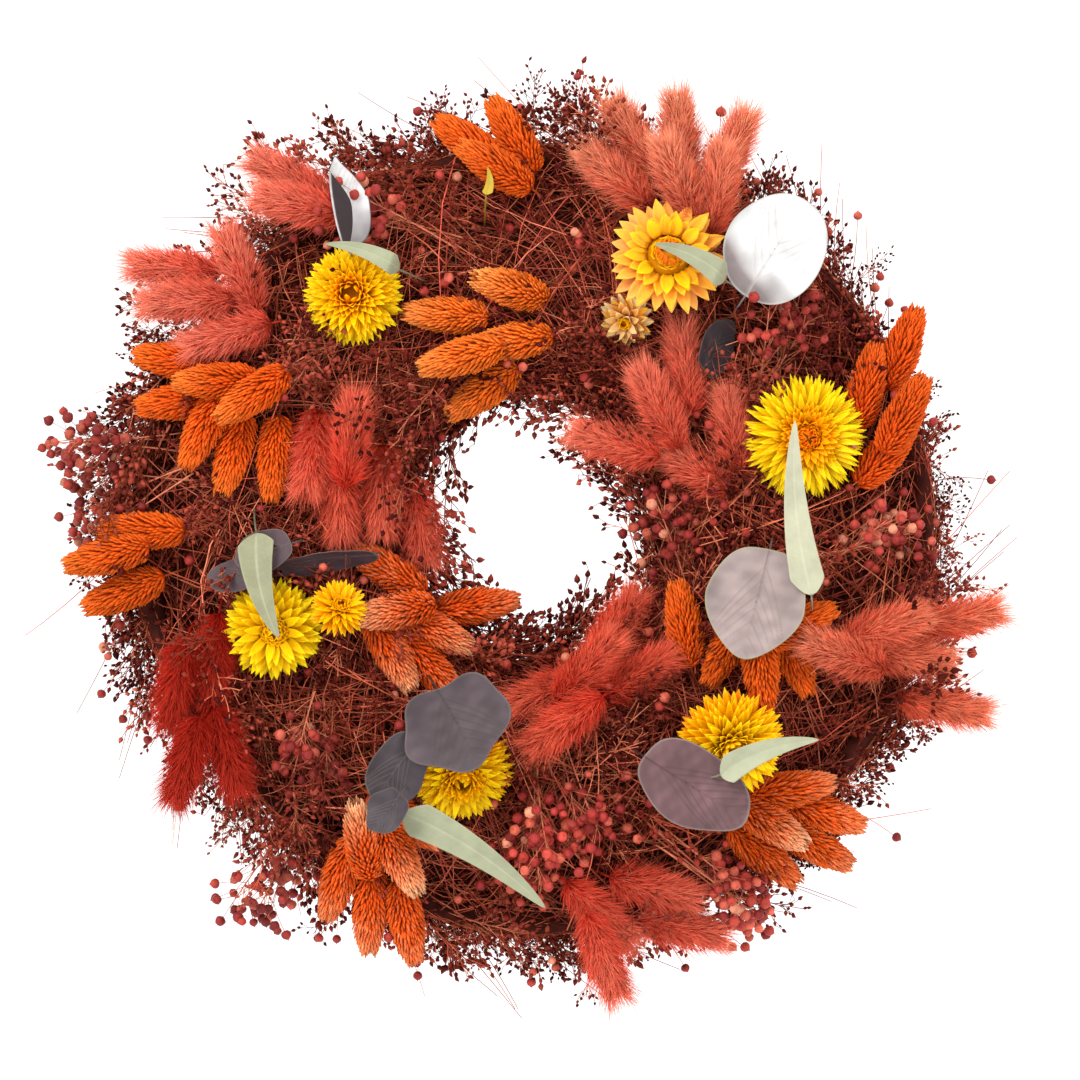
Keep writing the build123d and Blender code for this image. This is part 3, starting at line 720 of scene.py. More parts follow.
def spray_choices(middle, half, place):
    """Roots, ways, kinds and sizes of one place's sprays, less those that would cover a head."""
    count, low, high, turn_weight, out_weight, lift_weight, spread = place
    angle = np.repeat(middle + rng.uniform(-half, half, count), TRIES)
    phi = np.repeat(rng.uniform(low, high, count), TRIES)
    angle = angle + rng.normal(0, 0.10, TRIES * count)
    phi = np.clip(phi + rng.normal(0, 0.2, TRIES * count), low, high)
    around, outward = round_and_out(angle)
    roots, normal = core_point(angle, phi, -3 * MM)
    weights = rng.uniform(0.6, 1.4, (3, TRIES * count, 1))
    weights *= np.array([turn_weight, out_weight, lift_weight])[:, None, None]
    weights[0] *= np.tile([1.0, 0.6, -0.6], count)[:, None]
    weights[2] *= np.tile([1.0, 0.6, 0.2], count)[:, None]
    ways = lean(weights[0] * around + weights[1] * outward + weights[2] * normal, spread)
    ways[:, 1] = np.minimum(ways[:, 1], 0.12)
    ways = unit(ways)
    sizes = rng.uniform(0.75, 1.05, TRIES * count) * np.tile([1.0, 0.9, 0.75], count)
    kinds = rng.integers(0, len(SPRAYS), TRIES * count)
    lengths = np.array([spray[2] for spray in SPRAYS])[kinds] * sizes
    ends = roots + ways * lengths[:, None]
    across, toward = polar_of(ends)
    far_edge = outline_at(toward) + rng.uniform(-12, 7, TRIES * count) * MM
    far_edge = far_edge + 12 * MM * (rng.random(TRIES * count) < 0.06)
    root_across, _ = polar_of(roots)
    fit = (far_edge - root_across) / np.maximum(across - root_across, 1 * MM)
    fit = np.where(across > far_edge, np.clip(fit, 0.6, 1.0), 1.0)
    sizes, lengths = sizes * fit, lengths * fit
    ends = roots + ways * lengths[:, None]
    across, toward = polar_of(ends)
    hidden = covers(ends, 3 * MM) | covers(mix(roots, ends, 0.6), 1 * MM)
    hidden |= (across > far_edge + 4 * MM) | (across < hole_at(toward))
    for share in (0.0, 0.33, 0.66, 1.0):
        spot = mix(roots, ends, share)
        hidden |= in_box(spot, POCKET_LOW, POCKET_HIGH, (7 * share + 2) * MM)
        hidden |= in_box(spot, FOLD_LOW, FOLD_HIGH, (16 * share + 2) * MM)
    free = np.argmax(~hidden.reshape(count, TRIES), 1) + TRIES * np.arange(count)
    free = free[~hidden[free]]
    return roots[free], ways[free], kinds[free], sizes[free]


def grow_sprays(heap, middle, half):
    for place in PLACES:
        roots, ways, kinds, sizes = spray_choices(middle, half, place)
        rotations = along_frames(ways, rng.uniform(0, 2 * math.pi, len(ways)))
        for kind, (stems, buds, _) in enumerate(SPRAYS):
            here = np.flatnonzero(kinds == kind)
            if not len(here):
                continue
            reds = picked(STEM_REDS, len(here), 0.6, 1.2)
            darks = picked(SEED_DARKS, len(here), 0.7, 1.4)
            spot = (rotations[here], roots[here], sizes[here])
            heap.add_copies(stems, *spot, reds)
            heap.add_copies(buds, *spot, darks)


def wisps(heap, middle, half, count):
    """Long thin bare stems that stand out past the sprays."""
    angle = middle + rng.uniform(-half, half, count)
    phi = rng.uniform(2.4, 3.4, count)
    roots, normal = core_point(angle, phi)
    around, outward = round_and_out(angle)
    ways = lean(0.95 * around + 0.45 * outward + 0.1 * normal, 0.12)
    lengths = rng.uniform(44, 66, count) * MM * outline_at(angle) / 0.172
    paths = bent_paths(roots, ways, lengths, rng.uniform(0.02, 0.15, count), 7)
    paths = paths[~in_pocket(paths, 1 * MM).any(1)]
    tints = picked(STEM_REDS, len(paths), 0.6, 1.3)
    heap.add_tubes(paths, np.linspace(0.26, 0.15, 7) * MM, tints[:, None])


def fill(heap, middle, half, count):
    """Loose seed heads caught between the stems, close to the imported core."""
    angle = middle + rng.uniform(-half, half, count)
    phi = rng.uniform(0.1, math.pi, count)
    points, normal = core_point(angle, phi, rng.uniform(0.0, 6.0, count) * MM)
    turned = along_frames(lean(normal, 1.0))
    darks = picked(SEED_DARKS, count, 0.6, 1.2)
    heap.add_copies(SEED, turned, points, rng.uniform(2.6, 4.4, count) * MM, darks)


# Layers of thatch: how many stems, rise in millimetres, phi range, crossing, length in millimetres
THATCH = (
    (310, (-2.0, 2.0), (-BACK_PHI, math.pi + BACK_PHI), 0.45, (20, 55)),
    (120, (0.5, 6.0), (2.3, 3.5), 0.55, (20, 45)),
    (240, (2.0, 9.0), (0.25, 2.6), 0.55, (24, 60)),
    (150, (8.0, 15.0), (0.5, 2.4), 0.75, (26, 60)),
    (40, (13.0, 20.0), (0.6, 2.3), 0.95, (24, 50)),
    (110, (0.5, 4.0), (math.pi - 0.2, math.pi + BACK_PHI), 0.3, (20, 50)),
)


def plant_bundle(row):
    """One bundle of broom bloom: its packed core, its thatch and its sprays."""
    middle, _, _, node = row
    half = math.pi / len(BUNDLE_ROWS)
    heap = Heap()
    core(heap, middle - half, middle + half)
    for layer in THATCH:
        thatch(heap, middle - half, middle + half, *layer)
    back_thatch(heap, middle - half, middle + half, BACK_STEMS)
    fill(heap, middle, half, FILL_SEEDS)
    grow_sprays(heap, middle, half)
    wisps(heap, middle, half, WISPS)
    heap.piece(node + "_blooms", BROOM, [node])


for row in BUNDLE_ROWS:
    plant_bundle(row)


# ---------------------------------------------------------------- bound stems under the wire
def body_under(point):
    """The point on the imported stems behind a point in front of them."""
    across, angle = polar_of(point[None])
    angle = angle % (2 * math.pi)
    inner, outer = radii_at(angle)
    share = ((inner + outer) / 2 - across) / ((outer - inner) / 2)
    phi = np.arccos(np.clip(share, -0.8, 0.8))
    spot, _ = core_point(angle, phi, -2 * MM)
    return spot[0]


def add_stem(heap, start, way, radius, tint):
    """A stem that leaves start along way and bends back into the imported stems."""
    root = body_under(start + way * 12 * MM)
    t = np.linspace(0, 1, 8)[:, None]
    path = start * (1 - t) ** 2 + (start + way * 8 * MM) * 2 * t * (1 - t) + root * t**2
    heap.add_tubes(path[None], radius, tint, 6)


BOUND_STEMS = 900


def bind_stems():
    """The gathered stems of the bundles, laid round the frame under the binding wire."""
    low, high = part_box("bound_stems")
    points = np.concatenate(islands("bound_stems")) - CENTRE
    r = np.hypot(points[:, 0], points[:, 2])
    r_middle, r_half = (r.max() + r.min()) / 2, (r.max() - r.min()) / 2
    y_middle, y_half = (low.y + high.y) / 2, (high.y - low.y) / 2
    count, steps = BOUND_STEMS, 9
    t = np.linspace(0, 1, steps)[None]
    spread = np.sqrt(rng.uniform(0, 1, count)) * 0.94
    turn = rng.uniform(0, 2 * math.pi, count)
    radius = rng.uniform(0.45, 0.95, count) * MM
    angle = rng.uniform(0, 2 * math.pi, count)[:, None] + t * rng.uniform(0.5, 0.9, count)[:, None]
    wander = turn[:, None] + t * rng.normal(0, 0.5, count)[:, None]
    ring = r_middle + (r_half - radius[:, None]) * spread[:, None] * np.cos(wander)
    y = y_middle + (y_half - radius[:, None]) * spread[:, None] * np.sin(wander)
    paths = on_ring(ring, y - CENTRE[1], angle)
    tints = picked(STEM_REDS, count, 0.6, 1.1) * 0.7 + np.array([[0.13, 0.085, 0.04]])
    heap = Heap()
    heap.add_tubes(paths, radius[:, None], tints[:, None], 5)
    heap.piece("bound_stem_bunches", STEMS, ["bound_stems"])


bind_stems()


# ---------------------------------------------------------------- flax capsules
CAPSULE_RADII = (0, 0.07, 0.30, 0.47, 0.50, 0.42, 0.2, 0.05, 0)
CAPSULE_HEIGHTS = (0, 0, 0.06, 0.26, 0.46, 0.68, 0.86, 0.95, 1.1)
FLAX_REDS = np.array([(0.36, 0.04, 0.028), (0.24, 0.022, 0.018), (0.48, 0.09, 0.055), (0.62, 0.22, 0.13)])


def capsule_shape():
    """A round ribbed capsule of unit width with a small point on top."""
    shades = np.linspace(0.72, 1.15, len(CAPSULE_RADII))[:, None] * np.ones(3)
    shades[-2:] = [0.8, 0.7, 0.55]
    points, faces, colours = lathe(list(zip(CAPSULE_RADII, CAPSULE_HEIGHTS)), 10, shades)
    points[:, :2] *= (1 + 0.05 * np.cos(5 * np.arctan2(points[:, 1], points[:, 0])))[:, None]
    return points, faces, colours


CAPSULE = capsule_shape()
CAPSULE_WIDTH = 4.4 * MM
FARTHEST_CAPSULE = 187 * MM
CAPSULES_PER_SPRAY, SCATTERED_PER_RADIAN = 14, 130


def add_capsules(heap, stalks, sizes, reds):
    """A capsule on the end of each stalk."""
    ends = unit(stalks[:, -1] - stalks[:, -2])
    places = stalks[:, -1] - ends * 0.2 * MM
    heap.add_copies(CAPSULE, along_frames(ends), places, sizes * CAPSULE_WIDTH, reds)


def flax_spray(heap, base, way, length, count, tone):
    """A loose spray of capsules on fine stems that leaves base and fans out along way."""
    root = base - way * 14 * MM + np.array([0, 8 * MM, 0])
    length = np.linalg.norm(base + way * length - root)
    way = unit((base + way * length - root)[None])[0]
    main = bent_paths(root[None], way[None], np.array([length]), 0.08, 7)
    reds = FLAX_REDS[rng.choice(4, count, p=(0.42, 0.32, 0.20, 0.06))] * tone
    heap.add_tubes(main, np.linspace(0.5, 0.2, 7) * MM, STEM_REDS[2] * 0.9, 4)
    starts, _ = points_along(main[0], np.sort(rng.uniform(0.48, 1.0, count)))
    turn = np.arange(count) * GOLDEN_ANGLE
    ways = tilted_ways(turn, rng.uniform(0.35, 1.05, count)) @ along_frames(way[None])[0].T
    reach = rng.uniform(5, 15, count) * MM
    stalks = bent_paths(starts, ways, reach, rng.uniform(0.0, 0.35, count), 5)
    heap.add_tubes(stalks, 0.16 * MM, STEM_REDS[2] * 0.85)
    add_capsules(heap, stalks, rng.uniform(0.8, 1.1, count), reds)


def scattered_capsules(heap, middle, half, count):
    """Single capsules on bent stems that show all over a part of the wreath."""
    angle = middle + rng.uniform(-half, half, count)
    phi = rng.choice([1, 1, 2, 3], count) * 0.9 + rng.uniform(-0.5, 0.5, count)
    roots, normal = core_point(angle, phi)
    around, outward = round_and_out(angle)
    side = np.where(phi > 2.4, 0.7, 0.15)[:, None]
    ways = lean(0.6 * around + side * outward + 0.5 * normal, 0.3)
    lengths = rng.uniform(14, 34, count) * MM * np.where(phi > 2.4, 1.1, 1.0)
    ends = roots + ways * lengths[:, None]
    keep = ~covers(ends, 2 * MM) & ~in_pocket(ends, 3 * MM) & ~in_pocket(roots, 3 * MM)
    keep &= polar_of(ends)[0] < FARTHEST_CAPSULE
    count = keep.sum()
    paths = bent_paths(roots[keep], ways[keep], lengths[keep], rng.uniform(0.05, 0.3, count), 6)
    tints = picked(STEM_REDS, count, 0.7, 1.2)
    heap.add_tubes(paths, np.linspace(0.30, 0.16, 6) * MM, tints[:, None])
    reds = FLAX_REDS[rng.choice(4, count, p=(0.4, 0.35, 0.2, 0.05))]
    add_capsules(heap, paths, rng.uniform(0.75, 1.05, count), reds)


# Sprays on each stand-in, how far they lean apart, how dull their dye is, and the middle and half
# of the part of the wreath over which single capsules are scattered, in radians
FLAX_HABITS = {
    "flax_top": (5, 0.32, 0.9, 1.35, 0.9),
    "flax_left": (4, 0.42, 0.72, 3.3, 0.95),
    "flax_right": (5, 0.36, 0.85, 0.0, 0.6),
    "flax_bottom": (6, 0.26, 1.05, 5.0, 0.85),
}


def flax_pieces():
    for node, heads in FLAX_HEADS.items():
        heap = Heap()
        count, spread, dull, middle, half = FLAX_HABITS[node]
        for base, tip, _ in heads:
            way = unit(tip - base)
            length = np.linalg.norm(tip - base)
            for k in range(count):
                turned = lean(way[None], spread)[0]
                across, toward = polar_of((base + turned * length)[None])
                if across < hole_at(toward) + 2 * MM:
                    turned = way
                tone = rng.uniform(0.8, 1.35) * dull
                start = base + (tip - base) * 0.04 * k + rng.normal(0, 2.5, 3) * MM
                flax_spray(heap, start, turned, length * rng.uniform(0.8, 1.0), CAPSULES_PER_SPRAY, tone)
        scattered_capsules(heap, middle, half, int(SCATTERED_PER_RADIAN * half))
        heap.piece(node + "_capsules", FLAX, [node])


flax_pieces()


# ---------------------------------------------------------------- bunny tails
# Each cluster's deep tint, and the pale tint of the painted highlight on hair tips and on hairs facing the
# front
BUNNY_TONES = {
    "bunny_tails_top_right": ((0.720, 0.086, 0.042), (0.95, 0.425, 0.240)),
    "bunny_tails_left_inner": ((0.666, 0.030, 0.013), (0.92, 0.238, 0.136)),
    "bunny_tails_lower_left": ((0.396, 0.013, 0.006), (0.56, 0.051, 0.027)),
    "bunny_tails_right": ((0.738, 0.076, 0.035), (0.94, 0.357, 0.192)),
    "bunny_tails_bottom": ((0.684, 0.040, 0.019), (0.92, 0.272, 0.160)),
    "bunny_tails_bottom_inner": ((0.666, 0.033, 0.015), (0.90, 0.221, 0.120)),
    "bunny_tails_upper_left": ((0.738, 0.069, 0.036), (0.95, 0.340, 0.216)),
    "bunny_tails_upper_right_inner": ((0.720, 0.063, 0.030), (0.94, 0.306, 0.184)),
}
HAIRS = 2340
FLUFF = 1.15


def egg_radius(t):
    """Radius of an egg-shaped head along its length t, as a share of its widest."""
    return np.power(np.clip(np.sin(math.pi * np.power(np.clip(t, 0, 1), 0.8)), 0, 1), 0.62)


def egg_core(shares, radius, length, ends):
    """(radius, height) rows of an egg that begins and ends on its axis."""
    rows = [(egg_radius(t) * radius, t * length) for t in shares]
    return [(0, ends[0] * length), *rows, (0, ends[1] * length)]


def stance(base, tip):
    """A head's axis, its length, and a rotation that sets +Z along it with a random roll."""
    axis = tip - base
    return axis, np.linalg.norm(axis), along_frames(axis[None], rng.uniform(0, 6, 1))[0]


def set_frames(z_way, towards, turned):
    """Rotations with +Z along z_way and +X leant to towards, all turned together."""
    x_way = unit(towards - z_way * (towards * z_way).sum(1, keepdims=True))
    frames = np.stack([x_way, np.cross(z_way, x_way), z_way], 2)
    return np.einsum("ij,kjl->kil", turned, frames)


def head_pieces(groups, tones, grow, material, ending):
    """A piece for each cluster, its heads grown in the cluster's deep and pale tints."""
    for node, heads in groups.items():
        heap = Heap()
        deep, pale = np.array(tones[node])
        for base, tip, radius in heads:
            grow(heap, base, tip, radius, deep * rng.uniform(0.88, 1.08), pale)
        heap.piece(node + ending, material, [node])


def bunny_head(heap, base, tip, radius, deep, pale):
    """A soft head of fine hairs that flare towards the tip of an egg-shaped core."""
    axis, length, turned = stance(base, tip)
    inner = egg_core(np.linspace(0.02, 0.86, 12), radius * 0.66, length, (0.015, 0.88))
    # The core darkens towards its base, as painted shade deep in the fluff.
    heap.add_turned(inner, 12, deep * np.linspace(0.5, 0.9, len(inner))[:, None], turned, base)
    t = rng.uniform(0.0, 0.88, HAIRS)
    out = rim_ways(rng.uniform(0, 2 * math.pi, HAIRS))
    foot = out * (egg_radius(t) * radius * 0.55)[:, None] + UP * (t * length)[:, None]
    way = out * (1.05 - 0.40 * t)[:, None] + UP * (0.55 + 0.75 * t)[:, None]
    way = unit(way + rng.normal(0, 0.26, (HAIRS, 3)))
    reach = radius * FLUFF * (0.50 + 0.60 * rng.random(HAIRS)) * (1.0 + 0.15 * t)
    reach = reach * np.where(rng.random(HAIRS) < 0.10, 1.45, 1.0)
    steps = np.array([0, 0.5, 1.0])
    bend = UP * 0.22 + rng.normal(0, 0.14, (HAIRS, 3))
    paths = foot[:, None] + way[:, None] * (reach[:, None] * steps)[..., None]
    paths = paths + bend[:, None] * (reach[:, None] * steps**2)[..., None]
    paths = paths @ turned.T + base
    widths = rng.uniform(0.10, 0.18, HAIRS)[:, None] * np.array([[1.0, 0.75, 0.15]]) * MM
    # Hairs turn pale towards their tips and on the side facing the front as painted highlight, and darken at
    # their roots as painted shade.
    facing = np.clip(-(out @ turned.T)[:, 1], 0, 1)
    painted_light_share = t**2 * 0.60 + 0.30 * facing**2 * np.sin(math.pi * np.clip(t, 0, 1) ** 0.8)
    share = np.clip(painted_light_share + rng.normal(0, 0.12, HAIRS), 0, 1)[:, None]
    colour = mix(deep, pale, share) * rng.uniform(0.88, 1.12, HAIRS)[:, None]
    heap.add_tubes(paths, widths, np.stack([colour * 0.9, colour, mix(colour, pale, 0.28)], 1))
    add_stem(heap, base + axis * 0.08, -axis / length, 0.5 * MM, deep * 0.6)


head_pieces(BUNNY_HEADS, BUNNY_TONES, bunny_head, BUNNY, "_fluff")


# ---------------------------------------------------------------- canary grass
# Each cluster's deep tint, and the pale tint of the painted highlight on the tips of heads that point to the
# front
CANARY_TONES = {
    "canary_grass_top": ((0.66, 0.070, 0.005), (0.80, 0.13, 0.015)),
    "canary_grass_upper_middle": ((0.78, 0.110, 0.008), (0.90, 0.26, 0.05)),
    "canary_grass_upper_left": ((0.68, 0.066, 0.004), (0.86, 0.17, 0.02)),
    "canary_grass_left": ((0.68, 0.074, 0.005), (0.84, 0.16, 0.02)),
    "canary_grass_lower_left_inner": ((0.64, 0.062, 0.005), (0.92, 0.40, 0.16)),
    "canary_grass_bottom_left": ((0.70, 0.070, 0.005), (0.94, 0.42, 0.17)),
    "canary_grass_right": ((0.68, 0.066, 0.005), (0.80, 0.13, 0.015)),
    "canary_grass_right_inner": ((0.68, 0.074, 0.005), (0.84, 0.16, 0.02)),
    "canary_grass_bottom_right": ((0.72, 0.076, 0.005), (0.94, 0.40, 0.17)),
}
SCALES = 400
PLUMP = 1.30


def scale_shape():
    """One keeled, pointed scale, closed, lying along +Z with its keel towards +X."""
    rows = ((0.0, 0.16, 0.02), (0.35, 0.32, 0.20), (0.68, 0.20, 0.22), (1.0, 0.02, 0.14))
    # Painted shade darkens the scale's root, where the scale above overlaps it, and its two edges; painted
    # highlight pales its keel and tip.
    shades = ((0.60, 0.42, 0.3), (0.95, 0.85, 0.7), (1.08, 1.25, 1.4), (1.15, 1.75, 2.6))
    points, colours, faces = [], [], [(0, 2, 1), (9, 10, 11)]
    for (z, half, keel), shade in zip(rows, np.array(shades)):
        points += [(0.0, -half, z), (keel, 0.0, z), (0.0, half, z)]
        colours += [shade * 0.72, shade, shade * 0.72]
    for a in range(0, 9, 3):
        for j, n in ((0, 1), (1, 2), (2, 0)):
            faces += [(a + j, a + n, a + 3 + n), (a + j, a + 3 + n, a + 3 + j)]
    return np.array(points), np.array(faces), np.array(colours)


SCALE = scale_shape()


def canary_head(heap, base, tip, radius, deep, pale):
    """A plump head of overlapping pointed scales set in a spiral."""
    axis, length, turned = stance(base, tip)
    radius = radius * PLUMP
    inner = egg_core(np.linspace(0.03, 0.9, 10), radius * 0.72, length, (0.02, 0.92))
    # The hidden core is half as bright as the deep tint, as painted shade in the gaps between scales.
    heap.add_turned(inner, 12, np.tile(deep * 0.5, (len(inner), 1)), turned, base)
    k = np.arange(SCALES)
    t = 0.01 + 0.88 * (k + 0.5) / SCALES
    out = rim_ways(k * GOLDEN_ANGLE + rng.normal(0, 0.06, SCALES))
    ring = egg_radius(t) * radius * 0.70
    slope = np.gradient(egg_radius(t), t) * radius / length
    lift = (0.50 + 0.30 * rng.random(SCALES)) * (1.0 - 0.35 * t)
    z_way = unit(UP + out * (slope * 0.9 + lift)[:, None])
    foot = out * ring[:, None] + UP * (t * length)[:, None] - z_way * 0.05 * length
    size = length * (0.155 + 0.04 * rng.random(SCALES)) * (1 - 0.10 * t)
    wide = np.minimum(size * 0.62, radius * 0.5)
    sizes = np.stack([wide, wide, size], -1)
    # Heads that point towards the front get pale tips, a painted highlight.
    facing = np.clip(-axis[1] / length * 3.5, 0.12, 1.0)
    share = np.clip(facing * t**3 + rng.normal(0, 0.06, SCALES), 0, 1)[:, None]
    tints = mix(deep, pale, share) * rng.uniform(0.80, 1.15, SCALES)[:, None]
    heap.add_copies(SCALE, set_frames(z_way, out, turned), foot @ turned.T + base, sizes, tints)
    add_stem(heap, base + axis * 0.08, -axis / length, 0.5 * MM, (0.34, 0.07, 0.015))


head_pieces(CANARY_HEADS, CANARY_TONES, canary_head, CANARY, "_scales")


# ---------------------------------------------------------------- strawflowers
GOLD, LEMON, AMBER = (1.0, 0.50, 0.001), (1.0, 0.63, 0.003), (1.0, 0.38, 0.001)
RUST, PEACH, CREAM = (0.86, 0.14, 0.001), (0.98, 0.40, 0.10), (1.0, 0.66, 0.28)
APRICOT = (1.0, 0.42, 0.03)
# Layers of bracts: count, from and to angle off the axis, reach, width, colours at from and to
FLOWER_LOOKS = {
    "strawflower_upper_left": (
        (60, 3, 42, 0.86, 0.16, AMBER, GOLD),
        (210, 40, 97, 1.06, 0.15, GOLD, LEMON),
        (46, 96, 108, 1.0, 0.2, GOLD, AMBER),
    ),
    "strawflower_upper_right": (
        (46, 4, 44, 0.5, 0.2, RUST, GOLD),
        (26, 62, 76, 0.88, 0.26, GOLD, APRICOT),
        (34, 78, 100, 1.14, 0.27, APRICOT, PEACH),
    ),
    "strawflower_upper_right_bud": (
        (16, 4, 30, 0.7, 0.34, AMBER, GOLD),
        (30, 30, 88, 1.25, 0.4, CREAM, AMBER),
        (18, 84, 108, 1.35, 0.42, CREAM, CREAM),
    ),
    "strawflower_right": (
        (70, 2, 26, 0.6, 0.12, RUST, AMBER),
        (90, 24, 56, 0.84, 0.13, AMBER, GOLD),
        (210, 50, 97, 1.16, 0.12, LEMON, LEMON),
    ),
    "strawflower_left": (
        (44, 4, 36, 0.62, 0.18, GOLD, GOLD),
        (130, 34, 104, 1.14, 0.2, LEMON, LEMON),
        (24, 96, 118, 1.1, 0.22, GOLD, LEMON),
    ),
    "strawflower_lower_left_small": (
        (40, 3, 40, 0.7, 0.2, AMBER, GOLD),
        (90, 38, 104, 1.2, 0.2, GOLD, AMBER),
    ),
    "strawflower_bottom": (
        (60, 3, 44, 0.84, 0.17, GOLD, GOLD),
        (190, 40, 98, 1.1, 0.16, LEMON, AMBER),
        (40, 96, 110, 1.02, 0.2, AMBER, RUST),
    ),
    "strawflower_lower_right": (
        (60, 3, 44, 0.84, 0.17, GOLD, LEMON),
        (190, 40, 98, 1.1, 0.16, LEMON, AMBER),
        (46, 94, 110, 1.05, 0.2, AMBER, RUST),
    ),
}


def slab(top, under, colours_top, colours_under):
    """A closed thin solid between two grids (rows, cols, 3) of the same shape."""
    rows, cols, _ = top.shape
    n = rows * cols
    a = (np.arange(rows - 1)[:, None] * cols + np.arange(cols - 1)).ravel()
    b, c, d = a + 1, a + cols + 1, a + cols
    rim = [*range(cols), *range(2 * cols - 1, n, cols), *range(n - 2, n - cols - 1, -1)]
    rim = np.array(rim + list(range(n - 2 * cols, 0, -cols)))
    after = np.roll(rim, -1)
    sides = [(a, b, c), (a, c, d), (n + a, n + c, n + b), (n + a, n + d, n + c)]
    sides += [(rim, n + rim, n + after), (rim, n + after, after)]
    points = np.concatenate([top.reshape(-1, 3), under.reshape(-1, 3)])
    colours = np.concatenate([colours_top.reshape(-1, 3), colours_under.reshape(-1, 3)])
    return points, np.concatenate([np.stack(side, -1) for side in sides]), colours


def bract_shape():
    """One cupped, pointed papery bract, closed, along +Z with its inner face towards +X."""
    z = np.linspace(0, 1, 6)[:, None]
    half = np.array([[0.28], [0.46], [0.50], [0.47], [0.30], [0.03]])
    across = np.linspace(-1, 1, 5)[None]
    face = np.stack([0.55 * across**2 * half, half * across, z + 0 * across], -1)
    # Painted shade darkens each bract towards its root and edges, where the bracts overlap, and on its
    # underside; the green ramp, more orange at the root, is its own colour.
    shade = (0.90 + 0.12 * z) * (1 - 0.08 * across**2)
    green = shade * (0.76 + 0.26 * z)
    colours = np.stack([shade, green, green], -1)
    points, faces, colours = slab(face, face - [0.10, 0, 0], colours, colours * 0.95)
    return points, faces[:, ::-1], colours


BRACT = bract_shape()


def flower(heap, base, tip, radius, layers):
    """A strawflower: stiff bracts whose tips make a dome, upright at the heart and spread at the rim."""
    axis, height, turned = stance(base, tip)
    seat = 0.30 * height
    dome = height * 0.78
    first = 0

    def on_dome(out, theta, reach):
        away, up = radius * reach * np.sin(theta), seat + dome * reach * np.cos(theta)
        return out * away[:, None] + UP * up[:, None]

    for count, low, high, reach, width, near, far in layers:
        share = (np.arange(count) + 0.5) / count
        theta = np.arccos(mix(math.cos(math.radians(low)), math.cos(math.radians(high)), share))
        theta = theta + rng.normal(0, 0.03, count)
        turn = (np.arange(count) + first) * GOLDEN_ANGLE + rng.normal(0, 0.05, count)
        first += count
        out = rim_ways(turn)
        ends = on_dome(out, theta, reach * rng.uniform(0.92, 1.04, count))
        feet = on_dome(out, np.maximum(0.94 * theta, 0.55), 0.46)
        size = np.linalg.norm(ends - feet, axis=1)
        rotation = set_frames(unit(ends - feet), UP - out * 0.5, turned)
        wide = np.full(count, width * radius)
        tints = mix(near, far, share[:, None]) * rng.uniform(0.92, 1.06, count)[:, None]
        heap.add_copies(BRACT, rotation, feet @ turned.T + base, np.stack([wide, wide, size], -1), tints)
    turns = np.linspace(0.12, 0.9, 6) * math.pi
    cup = [(0, seat - dome * 0.40)]
    cup += [(0.45 * radius * math.sin(a), seat - dome * (0.42 * math.cos(a))) for a in turns]
    cup.append((0, seat + dome * 0.42))
    heap.add_turned(cup, 16, np.tile(np.array(AMBER) * 0.45, (len(cup), 1)), turned, base)
    add_stem(heap, base + axis * 0.15, -axis / height, 1.1 * MM, (0.36, 0.22, 0.08))


for node, (base, tip, radius) in FLOWERS.items():
    heap = Heap()
    flower(heap, base, tip, radius, FLOWER_LOOKS[node])
    heap.piece(node + "_bracts", PETAL, [node])


# ---------------------------------------------------------------- leaves
def leaf_frame(points):
    """(centre, long way, wide way, face way) of a flat leaf, the face way towards the viewer."""
    middle = (points.max(0) + points.min(0)) / 2
    _, vectors = np.linalg.eigh(np.cov((points - points.mean(0)).T))
    long_way, wide_way, face = vectors[:, 2], vectors[:, 1], vectors[:, 0]
    if face[1] > 0:
        face = -face
    return middle, long_way, wide_way, face


def extents(points, middle, way):
    along = (points - middle) @ way
    return along.min(), along.max()


